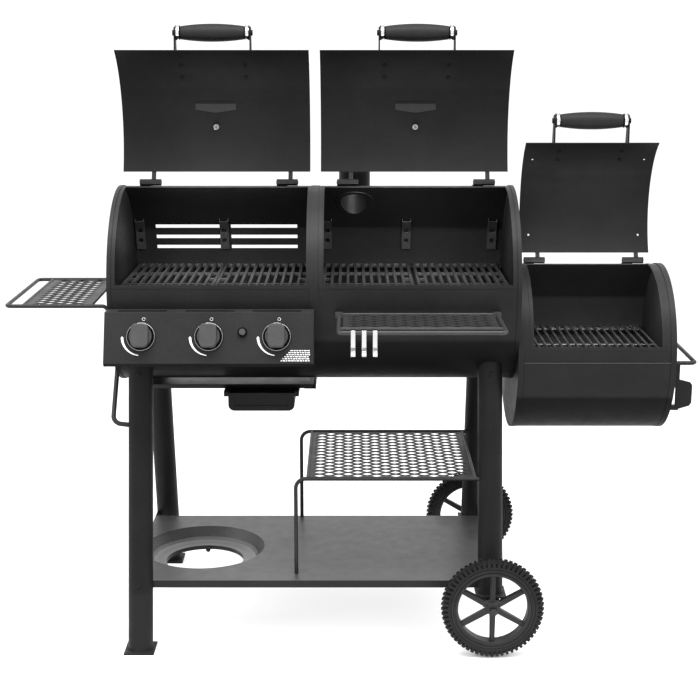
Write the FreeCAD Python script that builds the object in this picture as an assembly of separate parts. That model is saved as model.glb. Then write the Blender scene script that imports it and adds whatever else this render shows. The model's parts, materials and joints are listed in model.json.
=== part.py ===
"""Offset smoker with a gas chamber, a charcoal chamber and a side firebox.

Millimetres. The model is laid out with X to the right, Y to the back (0 on the
barrel's axis) and Z up from the floor. It is then moved in X and Y so that the
origin is the middle of its bounding box, on the floor. Angles on the barrels are in
the Y-Z plane, from +Y (back) towards +Z (up), so 90 is the top and 180 the front.
The lids are built closed and then turned open, as they stand at rest.
"""
import FreeCAD, Part
import os
from math import atan, cos, degrees, pi, radians, sin, sqrt

V = FreeCAD.Vector
X_AXIS, Y_AXIS, Z_AXIS = V(1, 0, 0), V(0, 1, 0), V(0, 0, 1)

# ---- main barrel -------------------------------------------------------------
BARREL_R = 247.0
AXIS_Z = 879.0
SKIN = 2.5
BARREL_X = (-588.0, 415.5)
GAS_OPENING_X = (-571.0, -105.0)
COAL_OPENING_X = (-64.0, 398.0)
OPENING_ANGLES = (91.5, 171.8)
CAP_T = 2.0
CAP_RIM = 7.5
DIVIDER_X = -85.0
FRAME_PROUD = 0.8
FRAME_BORDER = 9.0
DUCT_Y, DUCT_Z = (-90.0, 90.0), (740.0, 850.0)
BURNER_HOLE_GAP = 0.5

# ---- firebox -----------------------------------------------------------------
FIREBOX_R = 211.0
FIREBOX_Z = 713.0
FIREBOX_X = (415.5, 806.0)
FIREBOX_OPENING_X = (453.5, 769.5)
FIREBOX_OPENING_ANGLES = (80.0, 169.2)
FIREBOX_RIM = 12.0
LOWER_SKIN_PROUD = 1.2
RAIL_END, RAIL_R = (869.7, 144.0, 697.5), 5.25

# ---- lids --------------------------------------------------------------------
LID_GAP = 1.2
LID_T = 2.0
LIDS = {
    "gas_lid": dict(x=(-577.9, -101.1), axis_z=AXIS_Z, radius=BARREL_R, arc=(94.0, 172.6),
                    hinge=(9.0, 1135.0), opened=118.0, hinges=(-508.5, -160.0), gauge=True,
                    grip_x=-340.0, grip_angle=170.0, bracket=(146.6, 164.6), small=False),
    "coal_lid": dict(x=(-74.3, 402.5), axis_z=AXIS_Z, radius=BARREL_R, arc=(94.0, 172.6),
                     hinge=(9.0, 1135.0), opened=118.0, hinges=(-6.0, 342.0), gauge=True,
                     grip_x=166.0, grip_angle=170.0, bracket=(146.6, 164.6), small=False),
    "firebox_lid": dict(x=(443.0, 779.0), axis_z=FIREBOX_Z, radius=FIREBOX_R, arc=(82.1, 171.0),
                        hinge=(49.0, 927.8), opened=112.5, hinges=(481.0, 738.0), gauge=False,
                        grip_x=611.0, grip_angle=171.5, bracket=(147.5, 166.0), small=True),
}
KNUCKLE_R = 8.3
KNUCKLE_LEN = 27.0
PIN_R = 4.0
RUNNING_GAP = 0.05
GRIP_LEN, GRIP_R, GRIP_END_R = 161.5, 22.0, 17.0
GRIP_OFFSET = 63.5
COLLAR_LEN, COLLAR_R = 11.0, 18.0
BRACKET_T, BRACKET_BOLT_INSET = 3.5, 12.0
LID_PLATE_ANGLE = 133.0
GAUGE_ANGLE, GAUGE_R = 120.5, 38.0

# ---- chimney -----------------------------------------------------------------
CHIMNEY_X, CHIMNEY_Y = 12.0, 152.0
CHIMNEY_R, CHIMNEY_WALL = 38.5, 2.0
CHIMNEY_TOP = 1440.0
COLLAR_FLANGE_R = 48.5
CAP_PIVOT_X = CHIMNEY_X + 49.0

# ---- grates and inside parts ---------------------------------------------------
GRATE_TOP, GRATE_T, BAR_W, GRATE_BARS = 890.0, 9.0, 7.0, 12
GRATE_Y = (-239.0, 239.0)
GRATE_CROSS_Y = (-76.0, 87.0)
GAS_GRATES_X = ((-576.0, -342.0), (-340.0, -107.0))
COAL_GRATES_X = ((-69.8, 161.3), (171.0, 400.0))
FIRE_GRATE_X, FIRE_GRATE_Y, FIRE_GRATE_TOP = (440.0, 791.0), (-196.0, 196.0), 725.0
FIRE_ROD_R, FIRE_RODS, FIRE_CROSS_Y = 3.0, 18, (-172.0, -24.0, 172.0)
FIRE_LEDGE_X, FIRE_LEDGE_Y = (430.0, 796.0), 186.0
BURNER_X = (-499.0, -337.0, -175.0)
BURNER_Z, BURNER_R = 800.0, 12.0
RACK_BRACKET_X = {"gas": (-569.5, -341.0, -104.0), "coal": (-62.0, 153.0, 386.0)}
SLOT_ROWS = ((26.6, 29.4), (19.0, 21.6), (12.1, 14.4))
SLOT_X = ((-527.5, -354.0), (-323.5, -143.5))

# ---- control panel -------------------------------------------------------------
PANEL_X = (-587.6, -86.6)
PANEL_TOP_Z, PANEL_LOW_Z = 856.0, 741.0
PANEL_TOP_Y, PANEL_LOW_Y = -288.0, -335.0
PANEL_T = 2.0
KNOB_Z = 800.5
IGNITER_X, IGNITER_Z = -256.6, 810.7
BEZEL_R, KNOB_SKIRT_R = 35.0, 27.0
BUTTON_TRAVEL = 4.0
INLET_X, INLET_R, INLET_LOW_Z, INLET_FORWARD = -430.0, 7.0, 730.0, 11.5

# ---- stand ---------------------------------------------------------------------
LEG_R, LEG_WALL = 30.75, 2.0
LEG_X = (-524.7, 351.4)
FOOT_Y, LEG_SLOPE = 312.0, 0.2295
PLATE_X, PLATE_Y, PLATE_T = 75.0, 75.0, 4.0
AXLE_PLATE_Z = 137.0
WHEEL_R, WHEEL_MID_Y, WHEEL_W = 127.0, 347.0, 38.0
RIM_OUT, RIM_IN, HUB_R, HUB_HALF = 102.5, 86.0, 16.0, 22.0
AXLE_R, AXLE_HALF = 6.0, 378.0

# ---- bottom shelf ----------------------------------------------------------------
SHELF_X, SHELF_Y = (-552.0, 379.0), (-275.0, 211.0)
SHELF_TOP, SHELF_T, SHELF_LIP = 168.2, 2.0, 19.0
DISH_X, DISH_Y, DISH_R, DISH_HOLE_R = -388.0, -34.0, 159.7, 103.0
DISH_DEPTH, DISH_COLLAR = 34.0, 13.0

# ---- wire shelves ------------------------------------------------------------------
MESH_T, MESH_LONG, MESH_SHORT, STRAND = 2.4, 48.0, 28.0, 4.2
WIRE_R = 5.0
WIRE_SHELF_Z, WIRE_SHELF_Y, WIRE_LEG_X = 418.7, (-225.0, 203.0), -136.0
WIRE_BARS_X = (-106.0, 313.0)
SIDE_SHELF_Z, SIDE_SHELF_Y = 852.0, 190.0
SIDE_SHELF_X = (-846.0, -806.0, -638.0)
FRONT_SHELF_Z, FRONT_SHELF_X = 845.0, (-31.0, 361.0)
FRONT_SHELF_Y = (-472.0, -424.0, -256.0)
FRONT_RAIL_R, FRONT_ROD_R = 4.8, 2.8
HOOK_W, HOOK_T, HOOK_DROP, HOOK_CURL = 10.0, 2.0, 52.0, 11.0
HOOK_X = (7.0, 32.0, 57.0)
BRACE_TOP_Z = 768.0


# ---- basic solids --------------------------------------------------------------
def box(x, y, z):
    """A block from pairs of limits."""
    return Part.makeBox(x[1] - x[0], y[1] - y[0], z[1] - z[0], V(x[0], y[0], z[0]))


def rod(start, end, radius):
    """A round bar between two points."""
    direction = V(*end) - V(*start)
    return Part.makeCylinder(radius, direction.Length, V(*start), direction)


def barrel_solid(radius, x, axis_z):
    """A round bar along X on a barrel's axis."""
    return rod((x[0], 0, axis_z), (x[1], 0, axis_z), radius)


def polar(radius, angle, axis_z, x=0.0):
    """A point on a barrel, from its radius and angle."""
    return V(x, radius * cos(radians(angle)), axis_z + radius * sin(radians(angle)))


def arc_plate(inner, outer, angles, x, axis_z):
    """A plate rolled about a barrel's axis, between two angles and two X limits."""
    middle = sum(angles) / 2
    points = [[polar(r, a, axis_z, x[0]) for a in (angles[0], middle, angles[1])] for r in (inner, outer)]
    edges = [Part.Arc(*points[0]).toShape(), Part.LineSegment(points[0][2], points[1][2]).toShape(),
             Part.Arc(*points[1]).toShape(), Part.LineSegment(points[1][0], points[0][0]).toShape()]
    face = Part.Face(Part.Wire(Part.__sortEdges__(edges)))
    return face.extrude(V(x[1] - x[0], 0, 0))


def profile_x(points, x):
    """A prism along X from Y-Z points."""
    face = Part.Face(Part.makePolygon([V(x[0], y, z) for y, z in points + points[:1]]))
    return face.extrude(V(x[1] - x[0], 0, 0))


def ring(outer, inner, start, end):
    """A straight tube between two points."""
    return rod(start, end, outer).cut(rod(start, end, inner))


def revolve(points, centre, axis):
    """A turned solid: points are (radius, height along the axis) about the centre."""
    axis = V(*axis)
    side = X_AXIS if abs(axis.x) < 0.5 else Z_AXIS
    wire = Part.makePolygon([V(*centre) + side * r + axis * h for r, h in points + points[:1]])
    return Part.Face(wire).revolve(V(*centre), axis, 360)


def join(shapes):
    """One solid out of overlapping ones."""
    return shapes[0].multiFuse(shapes[1:]).removeSplitter() if len(shapes) > 1 else shapes[0]


def bent_rod(points, radius, bend):
    """A round bar along straight runs joined by tangent arcs."""
    corners = [V(*p) for p in points]
    edges, last = [], corners[0]
    for before, corner, after in zip(corners, corners[1:], corners[2:]):
        back = (before - corner).normalize()
        ahead = (after - corner).normalize()
        half = back.getAngle(ahead) / 2
        middle = (back + ahead).normalize()
        reach = bend / (sin(half) / cos(half))
        start, end = corner + back * reach, corner + ahead * reach
        top = corner + middle * (bend / sin(half) - bend)
        edges += [Part.LineSegment(last, start).toShape(), Part.Arc(start, top, end).toShape()]
        last = end
    edges.append(Part.LineSegment(last, corners[-1]).toShape())
    section = Part.Wire(Part.Circle(corners[0], corners[1] - corners[0], radius).toShape())
    return Part.Wire(edges).makePipeShell([section], True, False)


def mesh_panel(x, y, z):
    """Expanded-metal sheet: rows of diamond holes in a thin plate."""
    outline = Part.makePolygon([V(x[0], y[0], z), V(x[1], y[0], z), V(x[1], y[1], z),
                                V(x[0], y[1], z), V(x[0], y[0], z)])
    reach_x, reach_y = MESH_LONG / 2 - STRAND * 1.25, MESH_SHORT / 2 - STRAND * 0.6
    columns = int((x[1] - x[0]) / (MESH_LONG / 2)) - 1
    rows = int((y[1] - y[0]) / (MESH_SHORT / 2)) - 1
    start_x = (x[0] + x[1]) / 2 - (columns - 1) * MESH_LONG / 4
    start_y = (y[0] + y[1]) / 2 - (rows - 1) * MESH_SHORT / 4
    holes = []
    for column in range(columns):
        for row in range(column % 2, rows, 2):
            cx, cy = start_x + column * MESH_LONG / 2, start_y + row * MESH_SHORT / 2
            corners = [(cx - reach_x, cy), (cx, cy - reach_y), (cx + reach_x, cy), (cx, cy + reach_y)]
            holes.append(Part.makePolygon([V(px, py, z) for px, py in corners + corners[:1]]))
    face = Part.Face([outline] + holes)
    face.validate()
    return face.extrude(V(0, 0, MESH_T))


# ---- barrel and firebox -----------------------------------------------------------
def shell_with_opening(radius, x, axis_z, openings, angles):
    """A rolled skin with lid openings cut through its front and top."""
    skin = barrel_solid(radius, x, axis_z).cut(barrel_solid(radius - SKIN, x, axis_z))
    for limits in openings:
        skin = skin.cut(arc_plate(radius - 3 * SKIN, radius + 3 * SKIN, angles, limits, axis_z))
    return skin


def main_barrel():
    """Rolled skin with two lid openings, rear louvres, flue, burner and drain holes."""
    x = (BARREL_X[0] + CAP_T, BARREL_X[1] - CAP_T)
    skin = shell_with_opening(BARREL_R, x, AXIS_Z, (GAS_OPENING_X, COAL_OPENING_X), OPENING_ANGLES)
    for angles in SLOT_ROWS:
        for limits in SLOT_X:
            skin = skin.cut(arc_plate(BARREL_R - 9, BARREL_R + 9, angles, limits, AXIS_Z))
    skin = skin.cut(rod((CHIMNEY_X, CHIMNEY_Y, AXIS_Z), (CHIMNEY_X, CHIMNEY_Y, 1200), CHIMNEY_R))
    for bx in BURNER_X:
        skin = skin.cut(rod((bx, -300, BURNER_Z), (bx, -150, BURNER_Z), BURNER_R + BURNER_HOLE_GAP))
    return skin.cut(box((-480, -160), (-35, 35), (600, 660)))


def rimmed_cap(radius, outer_x, side, rim, axis_z):
    """An end disc with a rolled rim over the skin; side is -1 on the left, 1 on the right."""
    inner_x = outer_x - side * CAP_T
    edge_x = inner_x - side * rim
    disc = barrel_solid(radius + 2, sorted((outer_x, inner_x)), axis_z)
    limits = sorted((inner_x, edge_x))
    collar = barrel_solid(radius + 2, limits, axis_z).cut(barrel_solid(radius, limits, axis_z))
    return join([disc, collar])


def duct_cutter():
    """The flame passage between the firebox and the charcoal chamber."""
    return box((FIREBOX_X[0] - 20, FIREBOX_X[0] + 20), DUCT_Y, DUCT_Z)


def barrel_caps():
    left = rimmed_cap(BARREL_R, BARREL_X[0], -1, CAP_RIM, AXIS_Z)
    right = rimmed_cap(BARREL_R, BARREL_X[1], 1, CAP_RIM, AXIS_Z)
    return [left, right.cut(duct_cutter())]


def divider_wall():
    return barrel_solid(BARREL_R - SKIN, (DIVIDER_X - 1.5, DIVIDER_X + 1.5), AXIS_Z)


def centre_band():
    """The proud strip between the two lids."""
    return arc_plate(BARREL_R, BARREL_R + 1.2, (60.0, 186.0), (-98.0, -77.5), AXIS_Z)


def opening_frame(radius, axis_z, x, angles):
    """A thin raised border on both sides of and below a lid opening."""
    border = degrees(FRAME_BORDER / radius)
    left, right = x[0] - FRAME_BORDER, x[1] + FRAME_BORDER
    limits = (radius, radius + FRAME_PROUD)
    sides = [arc_plate(*limits, (angles[0], angles[1] + border), span, axis_z)
             for span in ((left, x[0]), (x[1], right))]
    return join(sides + [arc_plate(*limits, (angles[1], angles[1] + border), (left, right), axis_z)])


def opening_frames():
    gas = opening_frame(BARREL_R, AXIS_Z, (GAS_OPENING_X[0] + 3, GAS_OPENING_X[1] - 1), OPENING_ANGLES)
    coal = opening_frame(BARREL_R, AXIS_Z, (COAL_OPENING_X[0] - 3, COAL_OPENING_X[1] - 4), OPENING_ANGLES)
    fire = opening_frame(FIREBOX_R, FIREBOX_Z, FIREBOX_OPENING_X, FIREBOX_OPENING_ANGLES)
    return [gas.cut(centre_band()), coal.cut(centre_band()), fire]


def firebox_shell():
    """Upper skin with its lid opening, and a lower skin that stands slightly proud."""
    x = (FIREBOX_X[0] + CAP_T, FIREBOX_X[1] - CAP_T)
    upper = shell_with_opening(FIREBOX_R, x, FIREBOX_Z, (FIREBOX_OPENING_X,), FIREBOX_OPENING_ANGLES)
    inside = (x[0] + FIREBOX_RIM + 0.5, x[1] - FIREBOX_RIM - 0.5)
    lower = arc_plate(FIREBOX_R - 1, FIREBOX_R + LOWER_SKIN_PROUD, (180.0, 330.0), inside, FIREBOX_Z)
    return join([upper, lower])


def firebox_caps():
    left = rimmed_cap(FIREBOX_R, FIREBOX_X[0], -1, FIREBOX_RIM, FIREBOX_Z)
    right = rimmed_cap(FIREBOX_R, FIREBOX_X[1], 1, FIREBOX_RIM, FIREBOX_Z)
    window = box((FIREBOX_X[1] - 20, FIREBOX_X[1] + 20), (-105, 105), (572, 682))
    return [left.cut(duct_cutter()), right.cut(window)]


# ---- things inside the barrel --------------------------------------------------------
def rack_bracket(x):
    """A hat-section strip on the rear wall with two square holes."""
    outer = BARREL_R - SKIN
    strip = arc_plate(outer - 12, outer, (12.5, 34.1), (x - 12, x + 12), AXIS_Z)
    hollow = arc_plate(outer - 10.5, outer, (10.0, 36.0), (x - 10.5, x + 10.5), AXIS_Z)
    strip = strip.cut(hollow)
    for angle in (19.0, 26.5):
        strip = strip.cut(arc_plate(outer - 20, outer - 8, (angle - 1.4, angle + 1.4),
                                    (x - 6, x + 6), AXIS_Z))
    return strip


def rack_brackets():
    inside = barrel_solid(BARREL_R - SKIN, (BARREL_X[0] + CAP_T, BARREL_X[1] - CAP_T), AXIS_Z)
    inside = inside.cut(divider_wall())
    return [rack_bracket(x).common(inside) for side in RACK_BRACKET_X.values() for x in side]


def grate_ledges():
    """Angle strips that carry the grates on the front and rear walls."""
    spans = ((BARREL_X[0] + CAP_T, DIVIDER_X - 1.5), (DIVIDER_X + 1.5, BARREL_X[1] - CAP_T))
    low = GRATE_TOP - GRATE_T - 3
    ledges = []
    for span in spans:
        inside = barrel_solid(BARREL_R - SKIN, span, AXIS_Z)
        for y in ((-BARREL_R, -226.0), (226.0, BARREL_R)):
            ledges.append(box(span, y, (low, low + 3)).common(inside))
    return ledges


def cooking_grate(x):
    """Bars from front to back, end bars and lower cross bars, and short grips in the outer gaps."""
    z, low = (GRATE_TOP - GRATE_T, GRATE_TOP), (GRATE_TOP - GRATE_T, GRATE_TOP - 1.5)
    pitch = (x[1] - x[0] - BAR_W) / (GRATE_BARS - 1)
    bars = [box((x[0] + i * pitch, x[0] + i * pitch + BAR_W), GRATE_Y, z) for i in range(GRATE_BARS)]
    middles = (GRATE_Y[0] + BAR_W / 2, *GRATE_CROSS_Y, GRATE_Y[1] - BAR_W / 2)
    cross = [box(x, (y - BAR_W / 2, y + BAR_W / 2), low) for y in middles]
    grips = [box(span, (-6, 6), low) for span in ((x[0], x[0] + pitch + 2), (x[1] - pitch - 2, x[1]))]
    return join(bars + cross + grips)


def firebox_grate():
    """Round rods from front to back, welded over cross rods."""
    x, z = FIRE_GRATE_X, FIRE_GRATE_TOP - FIRE_ROD_R
    pitch = (x[1] - x[0] - 2 * FIRE_ROD_R) / (FIRE_RODS - 1)
    rods = []
    for i in range(FIRE_RODS):
        rx = x[0] + FIRE_ROD_R + i * pitch
        rods.append(rod((rx, FIRE_GRATE_Y[0], z), (rx, FIRE_GRATE_Y[1], z), FIRE_ROD_R))
    low = z - 1.5 * FIRE_ROD_R
    cross = [rod((x[0], y, low), (x[1], y, low), FIRE_ROD_R) for y in FIRE_CROSS_Y]
    return join(rods + cross)


def heat_tents():
    """Bent sheet roofs over the burners."""
    outer = [(-40, 0), (0, 26), (40, 0)]
    tents = []
    for x in BURNER_X:
        points = [V(x + px, -195, 828 + pz) for px, pz in outer]
        inner = [V(p.x, p.y, p.z - 1.8) for p in reversed(points)]
        face = Part.Face(Part.makePolygon(points + inner + points[:1]))
        tents.append(face.extrude(V(0, 390, 0)))
    return tents


def tent_rails():
    """Two rails that carry the heat tents, along the front and rear walls."""
    span = (BARREL_X[0] + CAP_T, DIVIDER_X - 1.5)
    inside = barrel_solid(BARREL_R - SKIN, span, AXIS_Z)
    return [box(span, y, (823, 826)).common(inside) for y in ((-250.0, -190.0), (190.0, 250.0))]


def burners():
    """Closed burner tubes with a row of gas ports on each side."""
    tubes = []
    for x in BURNER_X:
        tube = ring(BURNER_R, BURNER_R - 1.5, (x, -262, BURNER_Z), (x, 150, BURNER_Z))
        tube = join([tube, rod((x, 150, BURNER_Z), (x, 153, BURNER_Z), BURNER_R)])
        for side in (-1, 1):
            for i in range(12):
                y = -180 + i * 28
                tube = tube.cut(rod((x, y, BURNER_Z), (x + side * 20, y, BURNER_Z + 4), 1.5))
        tubes.append(tube)
    return tubes


def charcoal_tray():
    """Pan under the charcoal grates, with sloping sides and ash slots."""
    x, z = (-60.0, 388.0), (742.0, 790.0)

    def pan(grow, low):
        points = [(-150 - grow, z[1] + low), (-120 - grow, z[0] + low), (120 + grow, z[0] + low),
                  (150 + grow, z[1] + low)]
        return profile_x(points, (x[0] - grow, x[1] + grow))

    tray = pan(0, 0).cut(pan(-2, 2))
    for i in range(8):
        sx = x[0] + 40 + i * 52
        tray = tray.cut(box((sx, sx + 12), (-90, 90), (z[0] - 5, z[0] + 5)))
    return tray


def tray_carriers():
    """Cross straps that hold the charcoal tray up between the walls."""
    straps = []
    inside = barrel_solid(BARREL_R - SKIN, (DIVIDER_X + 1.5, BARREL_X[1] - CAP_T), AXIS_Z)
    for x in (20.0, 300.0):
        straps.append(box((x, x + 20), (-BARREL_R, BARREL_R), (738.0, 742.0)).common(inside))
    return straps


def firebox_ledges():
    inside = barrel_solid(FIREBOX_R - SKIN, (FIREBOX_X[0] + CAP_T, FIREBOX_X[1] - CAP_T), FIREBOX_Z)
    height = (FIRE_GRATE_TOP - 9.5, FIRE_GRATE_TOP - 2 * FIRE_ROD_R)
    sides = ((-FIREBOX_R, -FIRE_LEDGE_Y), (FIRE_LEDGE_Y, FIREBOX_R))
    return [box(FIRE_LEDGE_X, y, height).common(inside) for y in sides]


# ---- control panel ----------------------------------------------------------------
PANEL_RUN = sqrt((PANEL_TOP_Z - PANEL_LOW_Z) ** 2 + (PANEL_TOP_Y - PANEL_LOW_Y) ** 2)
PANEL_NORMAL = V(0, -(PANEL_TOP_Z - PANEL_LOW_Z) / PANEL_RUN, (PANEL_TOP_Y - PANEL_LOW_Y) / PANEL_RUN)


def panel_point(x, z, out=0.0):
    """A point on the sloping panel face at height z, moved out along its normal."""
    share = (PANEL_TOP_Z - z) / (PANEL_TOP_Z - PANEL_LOW_Z)
    y = PANEL_TOP_Y + share * (PANEL_LOW_Y - PANEL_TOP_Y)
    return V(x, y, z) + PANEL_NORMAL * out


def panel_rod(x, z, start, end, radius):
    """A round bar square to the panel face, from one height above it to another."""
    return rod(panel_point(x, z, start), panel_point(x, z, end), radius)


def control_panel():
    """Folded sheet panel, open to the barrel and below, with vents along its top."""
    outer = profile_x([(-236, PANEL_TOP_Z), (PANEL_TOP_Y, PANEL_TOP_Z), (PANEL_LOW_Y, PANEL_LOW_Z),
                       (PANEL_LOW_Y + 7, PANEL_LOW_Z - 9), (-200, PANEL_LOW_Z - 9)], PANEL_X)
    inner = profile_x([(-230, PANEL_TOP_Z - PANEL_T), (PANEL_TOP_Y + 1.4, PANEL_TOP_Z - PANEL_T),
                       (PANEL_LOW_Y + 2.5, PANEL_LOW_Z + 0.8), (PANEL_LOW_Y + 8, PANEL_LOW_Z - 7),
                       (PANEL_LOW_Y + 25, PANEL_LOW_Z - 7), (PANEL_LOW_Y + 25, PANEL_LOW_Z - 20),
                       (-190, PANEL_LOW_Z - 20)], (PANEL_X[0] + PANEL_T, PANEL_X[1] - PANEL_T))
    panel = outer.cut(inner).cut(barrel_solid(BARREL_R, (PANEL_X[0] - 5, PANEL_X[1] + 5), AXIS_Z))
    rim_x = (BARREL_X[0] - 1, BARREL_X[0] + CAP_T + CAP_RIM + 0.2)
    panel = panel.cut(barrel_solid(BARREL_R + CAP_T + 0.2, rim_x, AXIS_Z))
    panel = panel.cut(barrel_solid(BARREL_R + 1.4, (GAS_OPENING_X[0] - 10, PANEL_X[1] + 5), AXIS_Z))
    for x in BURNER_X:
        panel = panel.cut(box((x - 59, x + 59), (-277, -262), (PANEL_TOP_Z - 5, PANEL_TOP_Z + 5)))
        panel = panel.cut(panel_rod(x, KNOB_Z, -10, 10, 9.0))
    return panel.cut(panel_rod(IGNITER_X, IGNITER_Z, -10, 10, 9.0))


def gas_manifold():
    """Supply pipe with a hose inlet, and one valve body behind each knob."""
    spot = panel_point(0, KNOB_Z, -30)
    pipe_y, pipe_z = spot.y, spot.z - 20
    pipe = rod((-560, pipe_y, pipe_z), (-120, pipe_y, pipe_z), 8)
    inlet_y = pipe_y - INLET_FORWARD
    inlet = rod((INLET_X, inlet_y, pipe_z), (INLET_X, inlet_y, INLET_LOW_Z), INLET_R)
    hexagon = [V(INLET_X + 11 * cos(a * pi / 3), inlet_y + 11 * sin(a * pi / 3), INLET_LOW_Z + 22)
               for a in range(7)]
    nut = Part.Face(Part.makePolygon(hexagon)).extrude(V(0, 0, 8))
    valves = []
    for x in BURNER_X:
        body = panel_rod(x, KNOB_Z, -42, -14, 12)
        outlet = rod((x, -290, BURNER_Z), (x, -262, BURNER_Z), 7)
        valves.append(join([body, outlet]).cut(pipe))
    return [join([pipe, inlet, nut])] + valves


def knob_bezels():
    """Round trim rings under the knobs, and the collar round the igniter button."""
    rings = []
    for x in BURNER_X:
        disc = panel_rod(x, KNOB_Z, 0, 2.5, BEZEL_R)
        lip = panel_rod(x, KNOB_Z, 2.5, 4.5, BEZEL_R).cut(panel_rod(x, KNOB_Z, 2.0, 5.0, BEZEL_R - 2))
        rings.append(join([disc, lip]).cut(panel_rod(x, KNOB_Z, -1, 6, 9.0)))
    collar = panel_rod(IGNITER_X, IGNITER_Z, 0, 5, 11.5).cut(panel_rod(IGNITER_X, IGNITER_Z, -1, 6, 8.6))
    return rings + [collar]


def knob(x):
    """Round skirt with a wide rounded grip bar and a stem to the valve."""
    skirt = panel_rod(x, KNOB_Z, 5.0, 13.0, KNOB_SKIRT_R)
    bar = box((-20.5, 20.5), (-28.2, 28.2), (12, 31))
    upright = [e for e in bar.Edges if abs(e.tangentAt(e.FirstParameter).z) > 0.9]
    bar = bar.makeFillet(12, upright)
    bar = bar.makeFillet(3, [e for e in bar.Edges if e.BoundBox.ZMin > 30])
    bar.Placement = FreeCAD.Placement(panel_point(x, KNOB_Z), FreeCAD.Rotation(Z_AXIS, PANEL_NORMAL))
    stem = panel_rod(x, KNOB_Z, -13.5, 5.0, 4)
    return join([skirt, bar, stem])


def igniter_button():
    cap = panel_rod(IGNITER_X, IGNITER_Z, 2.0, 11.0, 7.5)
    return join([cap, panel_rod(IGNITER_X, IGNITER_Z, -20, 2.0, 4)])


# ---- grease tray and cup -----------------------------------------------------------
TRAY_X, TRAY_Y, TRAY_Z = (-545.0, -90.0), (-80.0, 110.0), (612.0, 626.0)
CUP_X, CUP_Y, CUP_Z = (-312.0, -142.0), (-100.0, 0.0), (561.0, 604.0)


def grease_tray():
    """Shallow pan with sloping edges and a drain hole over the cup."""
    def pan(inset, lift):
        base = [V(x, y, TRAY_Z[0] + lift) for x, y in _rectangle(TRAY_X, TRAY_Y, 14 + inset)]
        rim = [V(x, y, TRAY_Z[1] + lift) for x, y in _rectangle(TRAY_X, TRAY_Y, inset)]
        wires = [Part.makePolygon(points + points[:1]) for points in (base, rim)]
        return Part.makeLoft(wires, True, True)
    tray = pan(0, 0).cut(pan(1.5, 1.5))
    return tray.cut(rod((-226, -50, 600), (-226, -50, 640), 20))


def _rectangle(x, y, inset):
    return [(x[0] + inset, y[0] + inset), (x[1] - inset, y[0] + inset),
            (x[1] - inset, y[1] - inset), (x[0] + inset, y[1] - inset)]


def tray_hangers():
    """End plates that hang the grease tray under the barrel."""
    plates = []
    for x in (TRAY_X[0] - 2.2, TRAY_X[1] + 0.2):
        plate = profile_x([(-70, 611), (90, 611), (105, 690), (-85, 690)], (x, x + 2))
        foot = box((x, x + 2), (-60, 80), (609.5, 611.8))
        ledge_x = (x, x + 30) if x < -300 else (x - 28, x + 2)
        ledge = box(ledge_x, (-60, 80), (609.5, 611.8))
        plates.append(join([plate, foot, ledge]).cut(barrel_solid(BARREL_R, (-700, 0), AXIS_Z)))
    return plates


def cup_bracket():
    """Two C-section rails under the tray, one each side of the cup, joined at the back."""
    rails = []
    for x, side in ((CUP_X[0], -1), (CUP_X[1], 1)):
        outer = sorted((x + side * 0.5, x + side * 11))
        rail = box(outer, (CUP_Y[0], CUP_Y[1] + 6), (599.0, 611.8))
        slot = sorted((x - side * 2, x + side * 9))
        rails.append(rail.cut(box(slot, (CUP_Y[0] - 1, CUP_Y[1] + 1), (603.7, 608.4))))
    back = box((CUP_X[0] - 11, CUP_X[1] + 11), (CUP_Y[1] + 2, CUP_Y[1] + 6), (599.0, 611.8))
    return join(rails + [back])


def grease_cup():
    """Open cup with rounded corners, side flanges and a recessed front."""
    outer = box(CUP_X, CUP_Y, (CUP_Z[0], 608.0))
    corners = [e for e in outer.Edges if e.BoundBox.ZMax < CUP_Z[0] + 1 and abs(e.tangentAt(0).y) > 0.9]
    outer = outer.makeFillet(16, corners)
    inner = box((CUP_X[0] + 2, CUP_X[1] - 2), (CUP_Y[0] + 4, CUP_Y[1] - 2), (CUP_Z[0] + 2, 620.0))
    corners = [e for e in inner.Edges if e.BoundBox.ZMax < CUP_Z[0] + 3 and abs(e.tangentAt(0).y) > 0.9]
    inner = inner.makeFillet(14, corners)
    recess = box((CUP_X[0] + 16, CUP_X[1] - 16), (CUP_Y[0] - 1, CUP_Y[0] + 2), (574.0, 597.0))
    flange = box((CUP_X[0] - 8, CUP_X[1] + 8), (CUP_Y[0], CUP_Y[1]), (604.0, 608.0))
    return join([outer, flange]).cut(inner).cut(recess)


# ---- lids ---------------------------------------------------------------------------
def opened(shape, lid):
    """Turn a closed lid piece to its open position."""
    shape.rotate(V(0, *lid["hinge"]), X_AXIS, -lid["opened"])
    return shape


def lid_shell(lid):
    """Rolled lid: the small one has spare bolt holes, the large ones a plain plate inside."""
    inner, outer = lid["radius"] + LID_GAP, lid["radius"] + LID_GAP + LID_T
    shell = arc_plate(inner, outer, lid["arc"], lid["x"], lid["axis_z"])
    if lid["small"]:
        for x in (lid["x"][0] + 24, lid["x"][1] - 26):
            for angle in (95.0, 152.0):
                shell = shell.cut(rod(polar(inner - 5, angle, lid["axis_z"], x),
                                      polar(outer + 5, angle, lid["axis_z"], x), 2.6))
    else:
        shell = join([shell, lid_plate(lid)])
    return shell


def lid_plate(lid):
    """Plain five-sided plate inside a large lid."""
    inner, x, angle = lid["radius"] + LID_GAP, lid["grip_x"], LID_PLATE_ANGLE
    out = polar(1, angle, 0)
    up = polar(1, angle - 90, 0)
    outline = [(-51.5, -9), (-40, -11), (40, -11), (51.5, -9), (46, 4), (0, 11), (-46, 4)]
    points = [polar(inner - 15, angle, lid["axis_z"], x) + X_AXIS * px + up * pz for px, pz in outline]
    block = Part.Face(Part.makePolygon(points + points[:1])).extrude(out * 30)
    skin = arc_plate(inner - 1.2, inner, (angle - 8, angle + 8), (x - 60, x + 60), lid["axis_z"])
    return block.common(skin)


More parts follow.
